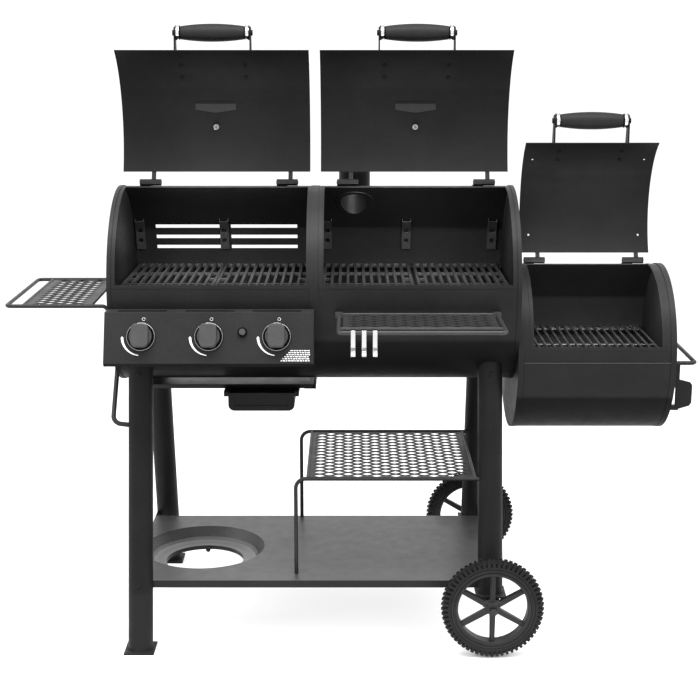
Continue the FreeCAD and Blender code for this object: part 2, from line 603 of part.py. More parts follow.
def grip_centre(lid, x):
    return polar(lid["radius"] + GRIP_OFFSET, lid["grip_angle"], lid["axis_z"], x)


def lid_grip(lid):
    """Barrel-shaped handle grip."""
    half = GRIP_LEN / 2
    centre = grip_centre(lid, lid["grip_x"])
    ends = [centre + V(side * half, 0, GRIP_END_R) for side in (-1, 1)]
    arc = Part.Arc(ends[0], centre + V(0, 0, GRIP_R), ends[1])
    ends = [centre + V(-half, 0, GRIP_END_R), centre + V(-half, 0, 0), centre + V(half, 0, 0),
            centre + V(half, 0, GRIP_END_R)]
    edges = [arc.toShape()] + [Part.LineSegment(a, b).toShape() for a, b in zip(ends, ends[1:])]
    return Part.Face(Part.Wire(Part.__sortEdges__(edges))).revolve(centre, X_AXIS, 360)


def lid_collars(lid):
    """Bright rings at the grip's ends."""
    half = GRIP_LEN / 2
    rings = []
    for side in (-1, 1):
        start = grip_centre(lid, lid["grip_x"] + side * half)
        rings.append(rod(start, start + V(side * COLLAR_LEN, 0, 0), COLLAR_R))
    return rings


def bracket_body(lid, side, start):
    """A side plate from the grip's end to its foot on the lid, with the grip's screw head."""
    outer, angles, axis_z = lid["radius"] + LID_GAP + LID_T, lid["bracket"], lid["axis_z"]
    x = sorted((start, start + side * BRACKET_T))
    tip = grip_centre(lid, x[0])
    boss = rod(tip, tip + V(BRACKET_T, 0, 0), 15)
    low, high = (polar(outer, a, axis_z, x[0]) for a in angles)
    along = (tip - (low + high) * 0.5).normalize()
    across = V(0, -along.z, along.y) * 12.5
    if (low - high).dot(across) < 0:
        across = across * -1
    outline = Part.makePolygon([low, tip + across, tip - across, high, low])
    web = Part.Face(outline).extrude(V(BRACKET_T, 0, 0)).cut(barrel_solid(outer + 1, x, axis_z))
    foot_x = sorted((start + side * BRACKET_T, start - side * 24))
    foot = arc_plate(outer, outer + 3, angles, foot_x, axis_z)
    root = arc_plate(outer, outer + 8, angles, x, axis_z)
    head = tip + V(BRACKET_T if side > 0 else 0, 0, 0)
    screw = rod(head, head + V(side * 4, 0, 0), 7)
    return join([boss, web, foot, root, screw])


def bracket_bolts(lid, x):
    """Bolt heads on a bracket's foot and their nuts inside the lid, seated on the curved faces."""
    inner, outer = lid["radius"] + LID_GAP, lid["radius"] + LID_GAP + LID_T
    span, axis_z = (x - 10, x + 10), lid["axis_z"]
    bolts = []
    for share in (0.25, 0.75):
        angle = lid["bracket"][0] + share * (lid["bracket"][1] - lid["bracket"][0])
        ends = [polar(r, angle, axis_z, x) for r in (inner - 3, inner + 1, outer + 2, outer + 7)]
        bolts.append(rod(ends[0], ends[1], 4.5).common(barrel_solid(inner, span, axis_z)))
        bolts.append(rod(ends[2], ends[3], 5.0).cut(barrel_solid(outer + 3, span, axis_z)))
    return bolts


def lid_brackets(lid):
    """Both brackets of a lid's handle, with their bolts."""
    reach = GRIP_LEN / 2 + COLLAR_LEN
    pieces = []
    for side in (-1, 1):
        start = lid["grip_x"] + side * reach
        pieces.append(bracket_body(lid, side, start))
        pieces += bracket_bolts(lid, start - side * BRACKET_BOLT_INSET)
    return pieces


def hinge_point(lid, x):
    return V(x, *lid["hinge"])


def lid_hinges(lid):
    """The lid's knuckles, each with a strap that runs on to the lid's outside."""
    outer = lid["radius"] + LID_GAP + LID_T
    pieces = []
    for x in lid["hinges"]:
        centre = hinge_point(lid, x)
        knuckle = rod(centre + V(0.3, 0, 0), centre + V(KNUCKLE_LEN, 0, 0), KNUCKLE_R)
        strap_x = (x + 3.0, x + 14.0)
        strap = arc_plate(outer, outer + 3, (lid["arc"][0] - 6, lid["arc"][0] + 12), strap_x, lid["axis_z"])
        hole = rod(centre - V(1, 0, 0), centre + V(KNUCKLE_LEN + 1, 0, 0), PIN_R + RUNNING_GAP)
        pieces.append(join([knuckle, strap]).cut(hole))
    return pieces


def lid_gauge(lid):
    """Dial thermometer: a round case outside the lid and a probe inside."""
    axis_z = lid["axis_z"]
    inner, outer = lid["radius"] + LID_GAP, lid["radius"] + LID_GAP + LID_T

    def at(radius):
        return polar(radius, GAUGE_ANGLE, axis_z, lid["grip_x"])

    case = rod(at(outer + 1.5), at(outer + 16), GAUGE_R)
    lip = rod(at(outer + 16), at(outer + 19), GAUGE_R).cut(rod(at(outer + 15), at(outer + 20), GAUGE_R - 4))
    neck = rod(at(outer), at(outer + 2), 9)
    probe = rod(at(inner - 45), at(inner - 8), 2.5)
    nut = rod(at(inner - 8), at(inner + 1), 7).common(barrel_solid(inner, lid["x"], axis_z))
    return [join([case, lip, neck]), join([probe, nut])]


def hinge_leaves():
    """The barrel's knuckles and leaves, with a pin through each pair of knuckles."""
    pieces = []
    for lid in LIDS.values():
        for x in lid["hinges"]:
            centre = hinge_point(lid, x)
            angle = degrees(atan((lid["hinge"][1] - lid["axis_z"]) / lid["hinge"][0]))
            knuckle = rod(centre - V(KNUCKLE_LEN, 0, 0), centre, KNUCKLE_R)
            span = (x - KNUCKLE_LEN, x - 1.0)
            leaf = arc_plate(lid["radius"], lid["radius"] + 3, (angle - 16, angle), span, lid["axis_z"])
            web = arc_plate(lid["radius"], lid["radius"] + 9, (angle - 2.2, angle), span, lid["axis_z"])
            pin = rod(centre - V(KNUCKLE_LEN + 1, 0, 0), centre + V(KNUCKLE_LEN + 1, 0, 0), PIN_R)
            skin = barrel_solid(lid["radius"], (x - 40, x + 40), lid["axis_z"])
            body = join([knuckle, leaf, web]).cut(skin)
            pieces += [body.cut(pin), pin]
    return pieces


# ---- chimney ---------------------------------------------------------------------------
def chimney_pipe():
    """Vertical flue with an inner flange on the barrel's wall and an ear for its cap."""
    low = (CHIMNEY_X, CHIMNEY_Y, AXIS_Z + 60)
    high = (CHIMNEY_X, CHIMNEY_Y, CHIMNEY_TOP)
    span = (CHIMNEY_X - 60, CHIMNEY_X + 60)
    inside = barrel_solid(BARREL_R - SKIN, span, AXIS_Z).cut(barrel_solid(BARREL_R - SKIN - 2, span, AXIS_Z))
    flange = rod(low, high, COLLAR_FLANGE_R).common(inside)
    pipe = rod(low, high, CHIMNEY_R).cut(barrel_solid(BARREL_R - SKIN - 2, span, AXIS_Z))
    ear = rod((CAP_PIVOT_X, CHIMNEY_Y, CHIMNEY_TOP - 14), (CAP_PIVOT_X, CHIMNEY_Y, CHIMNEY_TOP), 8)
    bridge = box((CHIMNEY_X + 37, CAP_PIVOT_X), (CHIMNEY_Y - 8, CHIMNEY_Y + 8),
                 (CHIMNEY_TOP - 14, CHIMNEY_TOP))
    body = join([pipe, flange, ear, bridge])
    pin = rod((CAP_PIVOT_X, CHIMNEY_Y, CHIMNEY_TOP - 14), (CAP_PIVOT_X, CHIMNEY_Y, CHIMNEY_TOP + 6), 3)
    bore = rod(low, (CHIMNEY_X, CHIMNEY_Y, CHIMNEY_TOP + 1), CHIMNEY_R - CHIMNEY_WALL)
    head = rod((CAP_PIVOT_X, CHIMNEY_Y, CHIMNEY_TOP + 6), (CAP_PIVOT_X, CHIMNEY_Y, CHIMNEY_TOP + 10), 6)
    return join([body.cut(bore), pin, head])


def chimney_collar():
    """Saddle flange outside the barrel, round the flue."""
    low = (CHIMNEY_X, CHIMNEY_Y, AXIS_Z + 60)
    high = (CHIMNEY_X, CHIMNEY_Y, CHIMNEY_TOP)
    span = (CHIMNEY_X - 80, CHIMNEY_X + 80)
    saddle = barrel_solid(BARREL_R + 3, span, AXIS_Z).cut(barrel_solid(BARREL_R, span, AXIS_Z))
    saddle = rod(low, high, 58).common(saddle)
    sleeve = rod((CHIMNEY_X, CHIMNEY_Y, AXIS_Z + 60), (CHIMNEY_X, CHIMNEY_Y, 1150), 41)
    sleeve = sleeve.cut(barrel_solid(BARREL_R, span, AXIS_Z))
    return join([saddle, sleeve]).cut(rod(low, high, CHIMNEY_R))


def chimney_cap():
    """Flat cap that swings aside on the pin at the flue's right."""
    z = (CHIMNEY_TOP + 0.4, CHIMNEY_TOP + 3.4)
    disc = rod((CHIMNEY_X, CHIMNEY_Y, z[0]), (CHIMNEY_X, CHIMNEY_Y, z[1]), 42)
    lug = rod((CAP_PIVOT_X, CHIMNEY_Y, z[0]), (CAP_PIVOT_X, CHIMNEY_Y, z[1]), 10)
    bridge = box((CHIMNEY_X + 30, CAP_PIVOT_X), (CHIMNEY_Y - 10, CHIMNEY_Y + 10), z)
    tab = box((CHIMNEY_X - 62, CHIMNEY_X - 30), (CHIMNEY_Y - 9, CHIMNEY_Y + 9), z)
    upright = box((CHIMNEY_X - 62, CHIMNEY_X - 59), (CHIMNEY_Y - 9, CHIMNEY_Y + 9), (z[0], z[0] + 14))
    hole = rod((CAP_PIVOT_X, CHIMNEY_Y, z[0] - 1), (CAP_PIVOT_X, CHIMNEY_Y, z[1] + 1), 3 + RUNNING_GAP)
    return join([disc, lug, bridge, tab, upright]).cut(hole)


# ---- firebox end ---------------------------------------------------------------------
DOOR_X = (FIREBOX_X[1] + 0.4, FIREBOX_X[1] + 3.4)
DOOR_Y, DOOR_Z = (-118.0, 118.0), (561.0, 690.0)
DOOR_PIN_Y = 124.0
DAMPER_X = (DOOR_X[1] + 0.4, DOOR_X[1] + 2.4)
DAMPER_Z, DAMPER_R = 628.0, 48.0


def damper_holes(x):
    """Three round air holes, evenly spaced about the damper's centre."""
    holes = []
    for i in range(3):
        a = radians(90 + 120 * i)
        y, z = 27 * cos(a), DAMPER_Z + 27 * sin(a)
        holes.append(rod((x[0] - 5, y, z), (x[1] + 5, y, z), 13))
    return holes


def firebox_door():
    """Clean-out door on the firebox end, with its knuckles and damper pin."""
    plate = box(DOOR_X, DOOR_Y, DOOR_Z)
    for hole in damper_holes(DOOR_X):
        plate = plate.cut(hole)
    knuckles = []
    for z in (575.0, 655.0):
        start, end = (DOOR_X[1] + 3.0, DOOR_PIN_Y, z), (DOOR_X[1] + 3.0, DOOR_PIN_Y, z + 22)
        knuckles += [rod(start, end, 6), box(DOOR_X, (DOOR_Y[1] - 1, DOOR_PIN_Y), (z, z + 22))]
    pin = rod((DOOR_X[0], 0, DAMPER_Z), (DAMPER_X[1] + 3, 0, DAMPER_Z), 4)
    head = rod((DAMPER_X[1] + 0.4, 0, DAMPER_Z), (DAMPER_X[1] + 4, 0, DAMPER_Z), 8)
    door = join([plate] + knuckles + [pin, head])
    bore = rod((DOOR_X[1] + 3.0, DOOR_PIN_Y, 500), (DOOR_X[1] + 3.0, DOOR_PIN_Y, 760), 3 + RUNNING_GAP)
    return door.cut(bore)


def door_hinge():
    """Fixed lugs and pin of the clean-out door."""
    x = DOOR_X[1] + 3.0
    lugs = []
    for z in (598.0, 637.0):
        lug = join([rod((x, DOOR_PIN_Y, z), (x, DOOR_PIN_Y, z + 16), 6),
                    box((FIREBOX_X[1], x), (DOOR_PIN_Y, DOOR_PIN_Y + 6), (z, z + 16)),
                    box((FIREBOX_X[1], FIREBOX_X[1] + 2), (DOOR_PIN_Y, DOOR_PIN_Y + 30), (z, z + 16))])
        lugs.append(lug)
    pin = rod((x, DOOR_PIN_Y, 572), (x, DOOR_PIN_Y, 680), 3)
    return [lug.cut(pin) for lug in lugs] + [pin]


def door_handle():
    """Bent strap on the door's free edge that ends in a tapered finger plate."""
    y = (-106.0, -103.0)
    strap = box((DOOR_X[1], 839.0), (-112, -98), (566, 578))
    flange = box((832.0, 839.0), (-112, -98), (566, 688))
    upper = box((DOOR_X[1], 839.0), (-112, -98), (625, 688))
    outline = [(838.0, 567.0), (838.0, 646.0), (868.0, 638.0),
               (873.5, 631.0), (873.5, 585.0), (868.0, 576.0)]
    plate = Part.Face(Part.makePolygon([V(x, y[0], z) for x, z in outline + outline[:1]]))
    return join([strap, flange, upper, plate.extrude(V(0, y[1] - y[0], 0))])


def air_damper():
    """Round shutter with three holes and a turning tab."""
    disc = rod((DAMPER_X[0], 0, DAMPER_Z), (DAMPER_X[1], 0, DAMPER_Z), DAMPER_R)
    disc = disc.cut(rod((DAMPER_X[0] - 1, 0, DAMPER_Z), (DAMPER_X[1] + 1, 0, DAMPER_Z), 4 + RUNNING_GAP))
    for hole in damper_holes(DAMPER_X):
        disc = disc.cut(hole)
    tab = box((DAMPER_X[0], DAMPER_X[1] + 14), (-8, 8), (DAMPER_Z - DAMPER_R + 0.5, DAMPER_Z - DAMPER_R + 3))
    return join([disc, tab])


def firebox_handle():
    """Round-bar rail across the firebox end."""
    (x, y, z), start = RAIL_END, FIREBOX_X[1]
    return bent_rod([(start, -y, z), (x, -y, z), (x, y, z), (start, y, z)], RAIL_R, 15)


# ---- stand -------------------------------------------------------------------------
def leg_axis(side, z):
    """The Y of a leg's axis at height z; side is -1 in front, 1 at the back."""
    return side * (FOOT_Y - LEG_SLOPE * z)


def leg_rod(x, side, radius):
    low, high = -60.0, 800.0
    return rod((x, leg_axis(side, low), low), (x, leg_axis(side, high), high), radius)


def leg(x, side, foot_z):
    """Round tube from its foot plate to the barrel, cut to the barrel's curve."""
    tube = leg_rod(x, side, LEG_R).cut(leg_rod(x, side, LEG_R - LEG_WALL))
    tube = tube.cut(barrel_solid(BARREL_R, (x - 60, x + 60), AXIS_Z))
    tube = tube.cut(box((x - 60, x + 60), (-600, 600), (AXIS_Z - 100, 900)))
    return tube.cut(box((x - 60, x + 60), (-600, 600), (-200, foot_z)))


def foot_z(x):
    """Left legs stand on the floor, right legs end above the axle."""
    return PLATE_T if x < 0 else AXLE_PLATE_Z + PLATE_T


def legs():
    return [leg(x, side, foot_z(x)) for x in LEG_X for side in (-1, 1)]


def foot_plates():
    """Square plates under the legs, at the floor and over the axle."""
    plates = []
    for x in LEG_X:
        top = foot_z(x)
        for side in (-1, 1):
            y = leg_axis(side, top)
            limits = (x - PLATE_X / 2, x + PLATE_X / 2), (y - PLATE_Y / 2, y + PLATE_Y / 2)
            plates.append(box(*limits, (top - PLATE_T, top)))
    return plates


def axle_brackets():
    """Saddles under the right foot plates whose ears hold the axle."""
    x = LEG_X[1]
    saddles = []
    for side in (-1, 1):
        y = leg_axis(side, AXLE_PLATE_Z)
        roof = box((x - 20, x + 20), (y - 30, y + 30), (AXLE_PLATE_Z - 3, AXLE_PLATE_Z))
        spans = ((y - 30, y - 26), (y + 26, y + 30))
        ears = [box((x - 20, x + 20), span, (112, AXLE_PLATE_Z)) for span in spans]
        saddles.append(join([roof] + ears).cut(rod((x, -400, WHEEL_R), (x, 400, WHEEL_R), AXLE_R)))
    return saddles


def axle():
    x = LEG_X[1]
    return rod((x, -AXLE_HALF, WHEEL_R), (x, AXLE_HALF, WHEEL_R), AXLE_R)


def axle_nuts():
    """Cap nut and washer at each end of the axle, and a spacer inside each wheel."""
    x = LEG_X[1]
    pieces = []
    for side in (-1, 1):
        face = side * (WHEEL_MID_Y + HUB_HALF + 0.4)
        nut = rod((x, face, WHEEL_R), (x, face + side * 2, WHEEL_R), 13)
        hexagon = [V(x + 10 * cos(a * pi / 3), face + side * 2, WHEEL_R + 10 * sin(a * pi / 3))
                   for a in range(7)]
        nut = join([nut, Part.Face(Part.makePolygon(hexagon)).extrude(V(0, side * 8, 0))])
        near = side * (WHEEL_MID_Y - HUB_HALF - 0.4)
        spacer = rod((x, near, WHEEL_R), (x, side * 312.0, WHEEL_R), 9)
        shaft = rod((x, -AXLE_HALF, WHEEL_R), (x, AXLE_HALF, WHEEL_R), AXLE_R)
        pieces += [nut.cut(shaft), spacer.cut(shaft)]
    return pieces


def wheel(side):
    """Six-spoke wheel: hub, spokes and a rim that the tyre sits in."""
    x, y = LEG_X[1], side * WHEEL_MID_Y
    half = WHEEL_W / 2
    centre = (x, y, WHEEL_R)
    rim = revolve([(RIM_IN, -half + 6), (RIM_IN + 3, -half + 2), (RIM_OUT, -half + 2), (RIM_OUT, half - 2),
                   (RIM_IN + 3, half - 2), (RIM_IN, half - 6)], centre, (0, 1, 0))
    hub = rod((x, y - HUB_HALF, WHEEL_R), (x, y + HUB_HALF, WHEEL_R), HUB_R)
    spokes = []
    for i in range(6):
        spoke = box((x - 6, x + 6), (y - 8, y + 8), (WHEEL_R + HUB_R - 3, WHEEL_R + RIM_IN + 2))
        spoke.rotate(V(*centre), Y_AXIS, i * 60)
        spokes.append(spoke)
    bore = rod((x, y - 40, WHEEL_R), (x, y + 40, WHEEL_R), AXLE_R + RUNNING_GAP)
    return join([rim, hub] + spokes).cut(bore)


def tyre(side):
    """Solid tyre with rounded shoulders."""
    half = WHEEL_W / 2
    points = [(RIM_OUT, -half + 2), (RIM_OUT + 5, -half), (WHEEL_R - 8, -half), (WHEEL_R - 2, -half + 5),
              (WHEEL_R, -half + 11), (WHEEL_R, half - 11), (WHEEL_R - 2, half - 5), (WHEEL_R - 8, half),
              (RIM_OUT + 5, half), (RIM_OUT, half - 2)]
    return revolve(points, (LEG_X[1], side * WHEEL_MID_Y, WHEEL_R), (0, 1, 0))


# ---- shelves ------------------------------------------------------------------------
def bottom_shelf():
    """Sheet shelf with turned-down edges and a dished seat for a gas cylinder."""
    z = (SHELF_TOP - SHELF_T, SHELF_TOP)
    low = (SHELF_TOP - SHELF_LIP, SHELF_TOP)
    sheet = box(SHELF_X, SHELF_Y, z).cut(rod((DISH_X, DISH_Y, 0), (DISH_X, DISH_Y, 300), DISH_R - 0.5))
    lips = [box(SHELF_X, (SHELF_Y[0], SHELF_Y[0] + SHELF_T), low),
            box(SHELF_X, (SHELF_Y[1] - SHELF_T, SHELF_Y[1]), low)]
    lips += [box(x, (SHELF_Y[0], 257.0), low) for x in
             ((SHELF_X[0], SHELF_X[0] + SHELF_T), (SHELF_X[1] - SHELF_T, SHELF_X[1]))]
    dish_low = SHELF_TOP - DISH_DEPTH
    profile = [(DISH_R, SHELF_TOP), (DISH_R - 5, SHELF_TOP - 7), (DISH_R - 24, dish_low + 3),
               (DISH_R - 34, dish_low), (DISH_HOLE_R, dish_low - 2), (DISH_HOLE_R, dish_low - DISH_COLLAR)]
    back = [(r + (SHELF_T if r < DISH_R - 30 else 0), h - (SHELF_T if r > DISH_HOLE_R else 0))
            for r, h in reversed(profile)]
    dish = revolve(profile + back, (DISH_X, DISH_Y, 0), (0, 0, 1))
    shelf = join([sheet] + lips + [dish])
    for x in LEG_X:
        for side in (-1, 1):
            shelf = shelf.cut(leg_rod(x, side, LEG_R))
    return shelf


def wire_shelf_frame():
    """Two bent wires with their feet on the bottom shelf, and two side bars."""
    wires = []
    for y, side in zip(WIRE_SHELF_Y, (-1, 1)):
        points = [(WIRE_LEG_X, y, SHELF_TOP), (WIRE_LEG_X, y, WIRE_SHELF_Z), (LEG_X[1], y, WIRE_SHELF_Z)]
        wires.append(bent_rod(points, WIRE_R, 25).cut(leg_rod(LEG_X[1], side, LEG_R)))
    bars = [rod((x, WIRE_SHELF_Y[0], WIRE_SHELF_Z), (x, WIRE_SHELF_Y[1], WIRE_SHELF_Z), 4)
            for x in WIRE_BARS_X]
    return join(wires + bars)


def wire_shelf_mesh():
    x = (WIRE_BARS_X[0] + 4, WIRE_BARS_X[1] - 4)
    y = (WIRE_SHELF_Y[0] + WIRE_R, WIRE_SHELF_Y[1] - WIRE_R)
    return mesh_panel(x, y, WIRE_SHELF_Z - MESH_T / 2)


def side_shelf_frame():
    """Bent rail from the barrel's left end, with two cross bars, and two braces to the legs."""
    end_x, far = BARREL_X[0], SIDE_SHELF_X[0]
    y, z = SIDE_SHELF_Y, SIDE_SHELF_Z
    turn_x = end_x - 8
    rail = bent_rod([(turn_x, -y, z - 44), (turn_x, -y, z), (far, -y, z), (far, y, z), (turn_x, y, z),
                     (turn_x, y, z - 44)], 4.8, 14)
    bars = [rod((x, -y, z), (x, y, z), 4.0) for x in SIDE_SHELF_X[1:]]
    lugs = [box((turn_x - 2, end_x), (side * y - 6, side * y + 6), (z - 46, z - 34)) for side in (-1, 1)]
    pieces = [join([rail] + bars + lugs)]
    brace_x = end_x - 6.2
    for side in (-1, 1):
        foot = 545.0
        points = [(LEG_X[0], leg_axis(side, foot), foot), (brace_x, leg_axis(side, foot), foot + 8),
                  (brace_x, side * 12.0, BRACE_TOP_Z)]
        brace = bent_rod(points, 6.0, 22).cut(leg_rod(LEG_X[0], side, LEG_R))
        pieces.append(brace)
    return pieces


def side_shelf_mesh():
    x = (SIDE_SHELF_X[1] + 4, SIDE_SHELF_X[2] - 4)
    return mesh_panel(x, (-SIDE_SHELF_Y + 4.8, SIDE_SHELF_Y - 4.8), SIDE_SHELF_Z - MESH_T / 2)


def front_shelf_frame():
    """Bent rail that stands out from the barrel, with two thin cross rods."""
    z, front = FRONT_SHELF_Z, FRONT_SHELF_Y[0]
    left, right = (x + side * FRONT_RAIL_R for x, side in zip(FRONT_SHELF_X, (1, -1)))
    corners = [(left, -240, z), (left, front, z), (right, front, z), (right, -240, z)]
    rail = bent_rod(corners, FRONT_RAIL_R, 14)
    rods = [rod((left, y, z), (right, y, z), FRONT_ROD_R) for y in FRONT_SHELF_Y[1:]]
    tabs = [box((x - 9, x + 9), (-262, -225), (z - 7, z + 4)) for x in (left, right)]
    return join([rail] + rods + tabs).cut(barrel_solid(BARREL_R, (-200, 415), AXIS_Z))


def front_shelf_mesh():
    """Mesh between the two thin rods, held clear of the mounting tabs."""
    x = (FRONT_SHELF_X[0] + 15, FRONT_SHELF_X[1] - 15)
    y = (FRONT_SHELF_Y[1] + FRONT_ROD_R, FRONT_SHELF_Y[2] - FRONT_ROD_R)
    return mesh_panel(x, y, FRONT_SHELF_Z - MESH_T / 2)


def tool_hooks():
    """Flat steel hooks over the front rail, curled forward at the bottom."""
    rail_y, z, gap = FRONT_SHELF_Y[0], FRONT_SHELF_Z, FRONT_RAIL_R + 0.2
    hooks = []
    for x in HOOK_X:
        span = (x - HOOK_W / 2, x + HOOK_W / 2)
        front_y = (rail_y - gap - HOOK_T, rail_y - gap)
        top, low = z + gap + HOOK_T, z - HOOK_DROP + HOOK_CURL
        over = box(span, (front_y[0], rail_y + gap + HOOK_T), (z + gap, top))
        front = box(span, front_y, (low, top))
        back = box(span, (rail_y + gap, rail_y + gap + HOOK_T), (z - 5, top))
        curl_y = front_y[1] - HOOK_CURL
        curl = rod((span[0], curl_y, low), (span[1], curl_y, low), HOOK_CURL)
        curl = curl.cut(rod((span[0] - 1, curl_y, low), (span[1] + 1, curl_y, low), HOOK_CURL - HOOK_T))
        curl = curl.cut(box((span[0] - 1, span[1] + 1), (curl_y - 20, curl_y + 20), (low, low + 20)))
        tip = box(span, (curl_y - HOOK_CURL, curl_y - HOOK_CURL + HOOK_T), (low, low + 4))
        hooks.append(join([over, front, back, curl, tip]))
    return hooks


def bolt(x, side, z):
    """Round-headed bolt square to a leg's outer face."""
    out = V(0, side, LEG_SLOPE).normalize()
    base = V(x, leg_axis(side, z), z) + out * (LEG_R - 1.0)
    head = Part.makeCylinder(5.5, 4.0, base, out)
    top = [e for e in head.Edges if abs((e.CenterOfMass - base).dot(out) - 4.0) < 0.1]
    return head.makeFillet(1.8, top).cut(leg_rod(x, side, LEG_R))


def frame_bolts():
    """Bolts at the tops of the legs and at the shelf, and the cylinder's clamping screw."""
    bolts = [bolt(x, side, z) for x in LEG_X for side in (-1, 1) for z in (672.0, 158.0)]
    screw_y, screw_z = DISH_Y + DISH_HOLE_R, SHELF_TOP - DISH_DEPTH - 8
    hole = rod((DISH_X, DISH_Y, 0), (DISH_X, DISH_Y, SHELF_TOP), DISH_HOLE_R)
    shank = rod((DISH_X, screw_y - 14, screw_z), (DISH_X, screw_y + 1, screw_z), 3).common(hole)
    head = rod((DISH_X, screw_y - 20, screw_z), (DISH_X, screw_y - 14, screw_z), 6)
    return bolts + [join([shank, head])]


# ---- assembly -------------------------------------------------------------------------
def build():
    """Every node's solids, before the move to the origin."""
    nodes = {
        "main_barrel": main_barrel(), "barrel_caps": barrel_caps(), "divider_wall": divider_wall(),
        "opening_frames": opening_frames() + [centre_band()], "rack_brackets": rack_brackets(),
        "inner_rails": grate_ledges() + tray_carriers() + tent_rails() + firebox_ledges(),
        "gas_grates": [cooking_grate(x) for x in GAS_GRATES_X],
        "charcoal_grates": [cooking_grate(x) for x in COAL_GRATES_X],
        "burners": burners(), "heat_tents": heat_tents(), "charcoal_tray": charcoal_tray(),
        "firebox_shell": firebox_shell(), "firebox_caps": firebox_caps(), "firebox_grate": firebox_grate(),
        "control_panel": control_panel(), "gas_manifold": gas_manifold(), "knob_bezels": knob_bezels(),
        "igniter_button": igniter_button(),
        "grease_tray": grease_tray(), "tray_hangers": tray_hangers(), "cup_bracket": cup_bracket(),
        "grease_cup": grease_cup(), "hinge_leaves": hinge_leaves(),
        "chimney_pipe": chimney_pipe(), "chimney_collar": chimney_collar(), "chimney_cap": chimney_cap(),
        "firebox_door": [firebox_door(), door_handle()], "door_hinge": door_hinge(),
        "air_damper": air_damper(), "firebox_handle": firebox_handle(),
        "legs": legs(), "foot_plates": foot_plates(), "axle_brackets": axle_brackets(),
        "axle": [axle()] + axle_nuts(), "bottom_shelf": bottom_shelf(), "frame_bolts": frame_bolts(),
        "wire_shelf_frame": wire_shelf_frame(), "side_shelf_frame": side_shelf_frame(),
        "front_shelf_frame": front_shelf_frame(), "tool_hooks": tool_hooks(),
        "shelf_meshes": [wire_shelf_mesh(), side_shelf_mesh(), front_shelf_mesh()],
    }
    for name, x in zip(("left", "middle", "right"), BURNER_X):
        nodes["knob_" + name] = knob(x)
    for name, side in (("front", -1), ("rear", 1)):
        nodes["wheel_" + name] = wheel(side)
        nodes["tyre_" + name] = tyre(side)
    for name, lid in LIDS.items():
        nodes[name] = opened(lid_shell(lid), lid)
        nodes[name + "_grip"] = opened(lid_grip(lid), lid)
        fittings = lid_brackets(lid) + lid_collars(lid) + lid_hinges(lid)
        nodes[name + "_fittings"] = [opened(s, lid) for s in fittings]
        if lid["gauge"]:
            nodes[name + "_gauge"] = [opened(s, lid) for s in lid_gauge(lid)]
    return {name: Part.makeCompound(shape) if isinstance(shape, list) else shape
            for name, shape in nodes.items()}


def origin_shift(nodes):
    """The move that puts the middle of the bounding box at X = Y = 0."""
    whole = FreeCAD.BoundBox()
    for shape in nodes.values():
        whole.add(shape.optimalBoundingBox(False))
    return V(-(whole.XMin + whole.XMax) / 2, -(whole.YMin + whole.YMax) / 2, 0)


NODES = build()
SHIFT = origin_shift(NODES)
os.makedirs("parts", exist_ok=True)
for node_name, node_shape in NODES.items():
    node_shape.translate(SHIFT)
    node_shape.exportStep("parts/" + node_name + ".step")
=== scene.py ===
# Offset smoker: finishes, fine pieces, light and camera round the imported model.
# Metres, in the model's own frame: X to the right, Y to the back, Z up from the floor.

import json
import math

import bmesh
import bpy
from mathutils import Matrix, Vector


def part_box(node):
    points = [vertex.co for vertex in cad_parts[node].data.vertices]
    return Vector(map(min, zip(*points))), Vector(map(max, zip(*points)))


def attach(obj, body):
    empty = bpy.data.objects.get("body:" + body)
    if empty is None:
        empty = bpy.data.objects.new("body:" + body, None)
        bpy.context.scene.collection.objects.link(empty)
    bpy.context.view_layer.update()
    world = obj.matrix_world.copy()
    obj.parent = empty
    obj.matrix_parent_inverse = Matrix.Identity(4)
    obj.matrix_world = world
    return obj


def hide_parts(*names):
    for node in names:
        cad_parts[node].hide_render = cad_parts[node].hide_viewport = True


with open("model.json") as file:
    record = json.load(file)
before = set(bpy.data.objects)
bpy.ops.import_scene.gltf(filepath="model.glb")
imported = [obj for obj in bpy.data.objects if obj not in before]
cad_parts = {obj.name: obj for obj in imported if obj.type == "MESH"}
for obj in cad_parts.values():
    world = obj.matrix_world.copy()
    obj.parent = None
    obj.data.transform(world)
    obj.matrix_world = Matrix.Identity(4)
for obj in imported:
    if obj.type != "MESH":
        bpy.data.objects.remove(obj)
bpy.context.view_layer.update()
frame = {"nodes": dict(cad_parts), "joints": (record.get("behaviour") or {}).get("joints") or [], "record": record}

# ---- places read from the frame -------------------------------------------------
JOINTS = {joint["name"]: joint for joint in frame["joints"]}
BARREL_LOW, BARREL_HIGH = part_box("main_barrel")
BARREL_MID = (BARREL_LOW + BARREL_HIGH) / 2
ORIGIN_FROM_BARREL_MID = 0.08625
ORIGIN_X = BARREL_MID.x + ORIGIN_FROM_BARREL_MID
X_AXIS, Y_AXIS, Z_AXIS = Vector((1, 0, 0)), Vector((0, 1, 0)), Vector((0, 0, 1))

# ---- camera -----------------------------------------------------------------------
CAMERA_FROM_BARREL = Vector((0.0863, -3.63, 0.6431))
CAMERA_DOWN = math.radians(12.785)
LENS, SENSOR = 73.245, 36.0

# ---- sizes of the fine pieces --------------------------------------------------------
LUGS, LUG_H, LUG_SPAN, SHOULDER_DROP = 60, 0.0045, 0.014, 0.0060
RIM_INNER, RIM_OUTER, RIM_HALF = 0.086, 0.1025, 0.017
SPOKES = 6
SPOKE_HALF_WIDTHS, SPOKE_HALF_DEPTHS = (0.0070, 0.0058), (0.0095, 0.0085)
HUB_R, HUB_BORE = 0.016, 0.0062
ROUND = 72

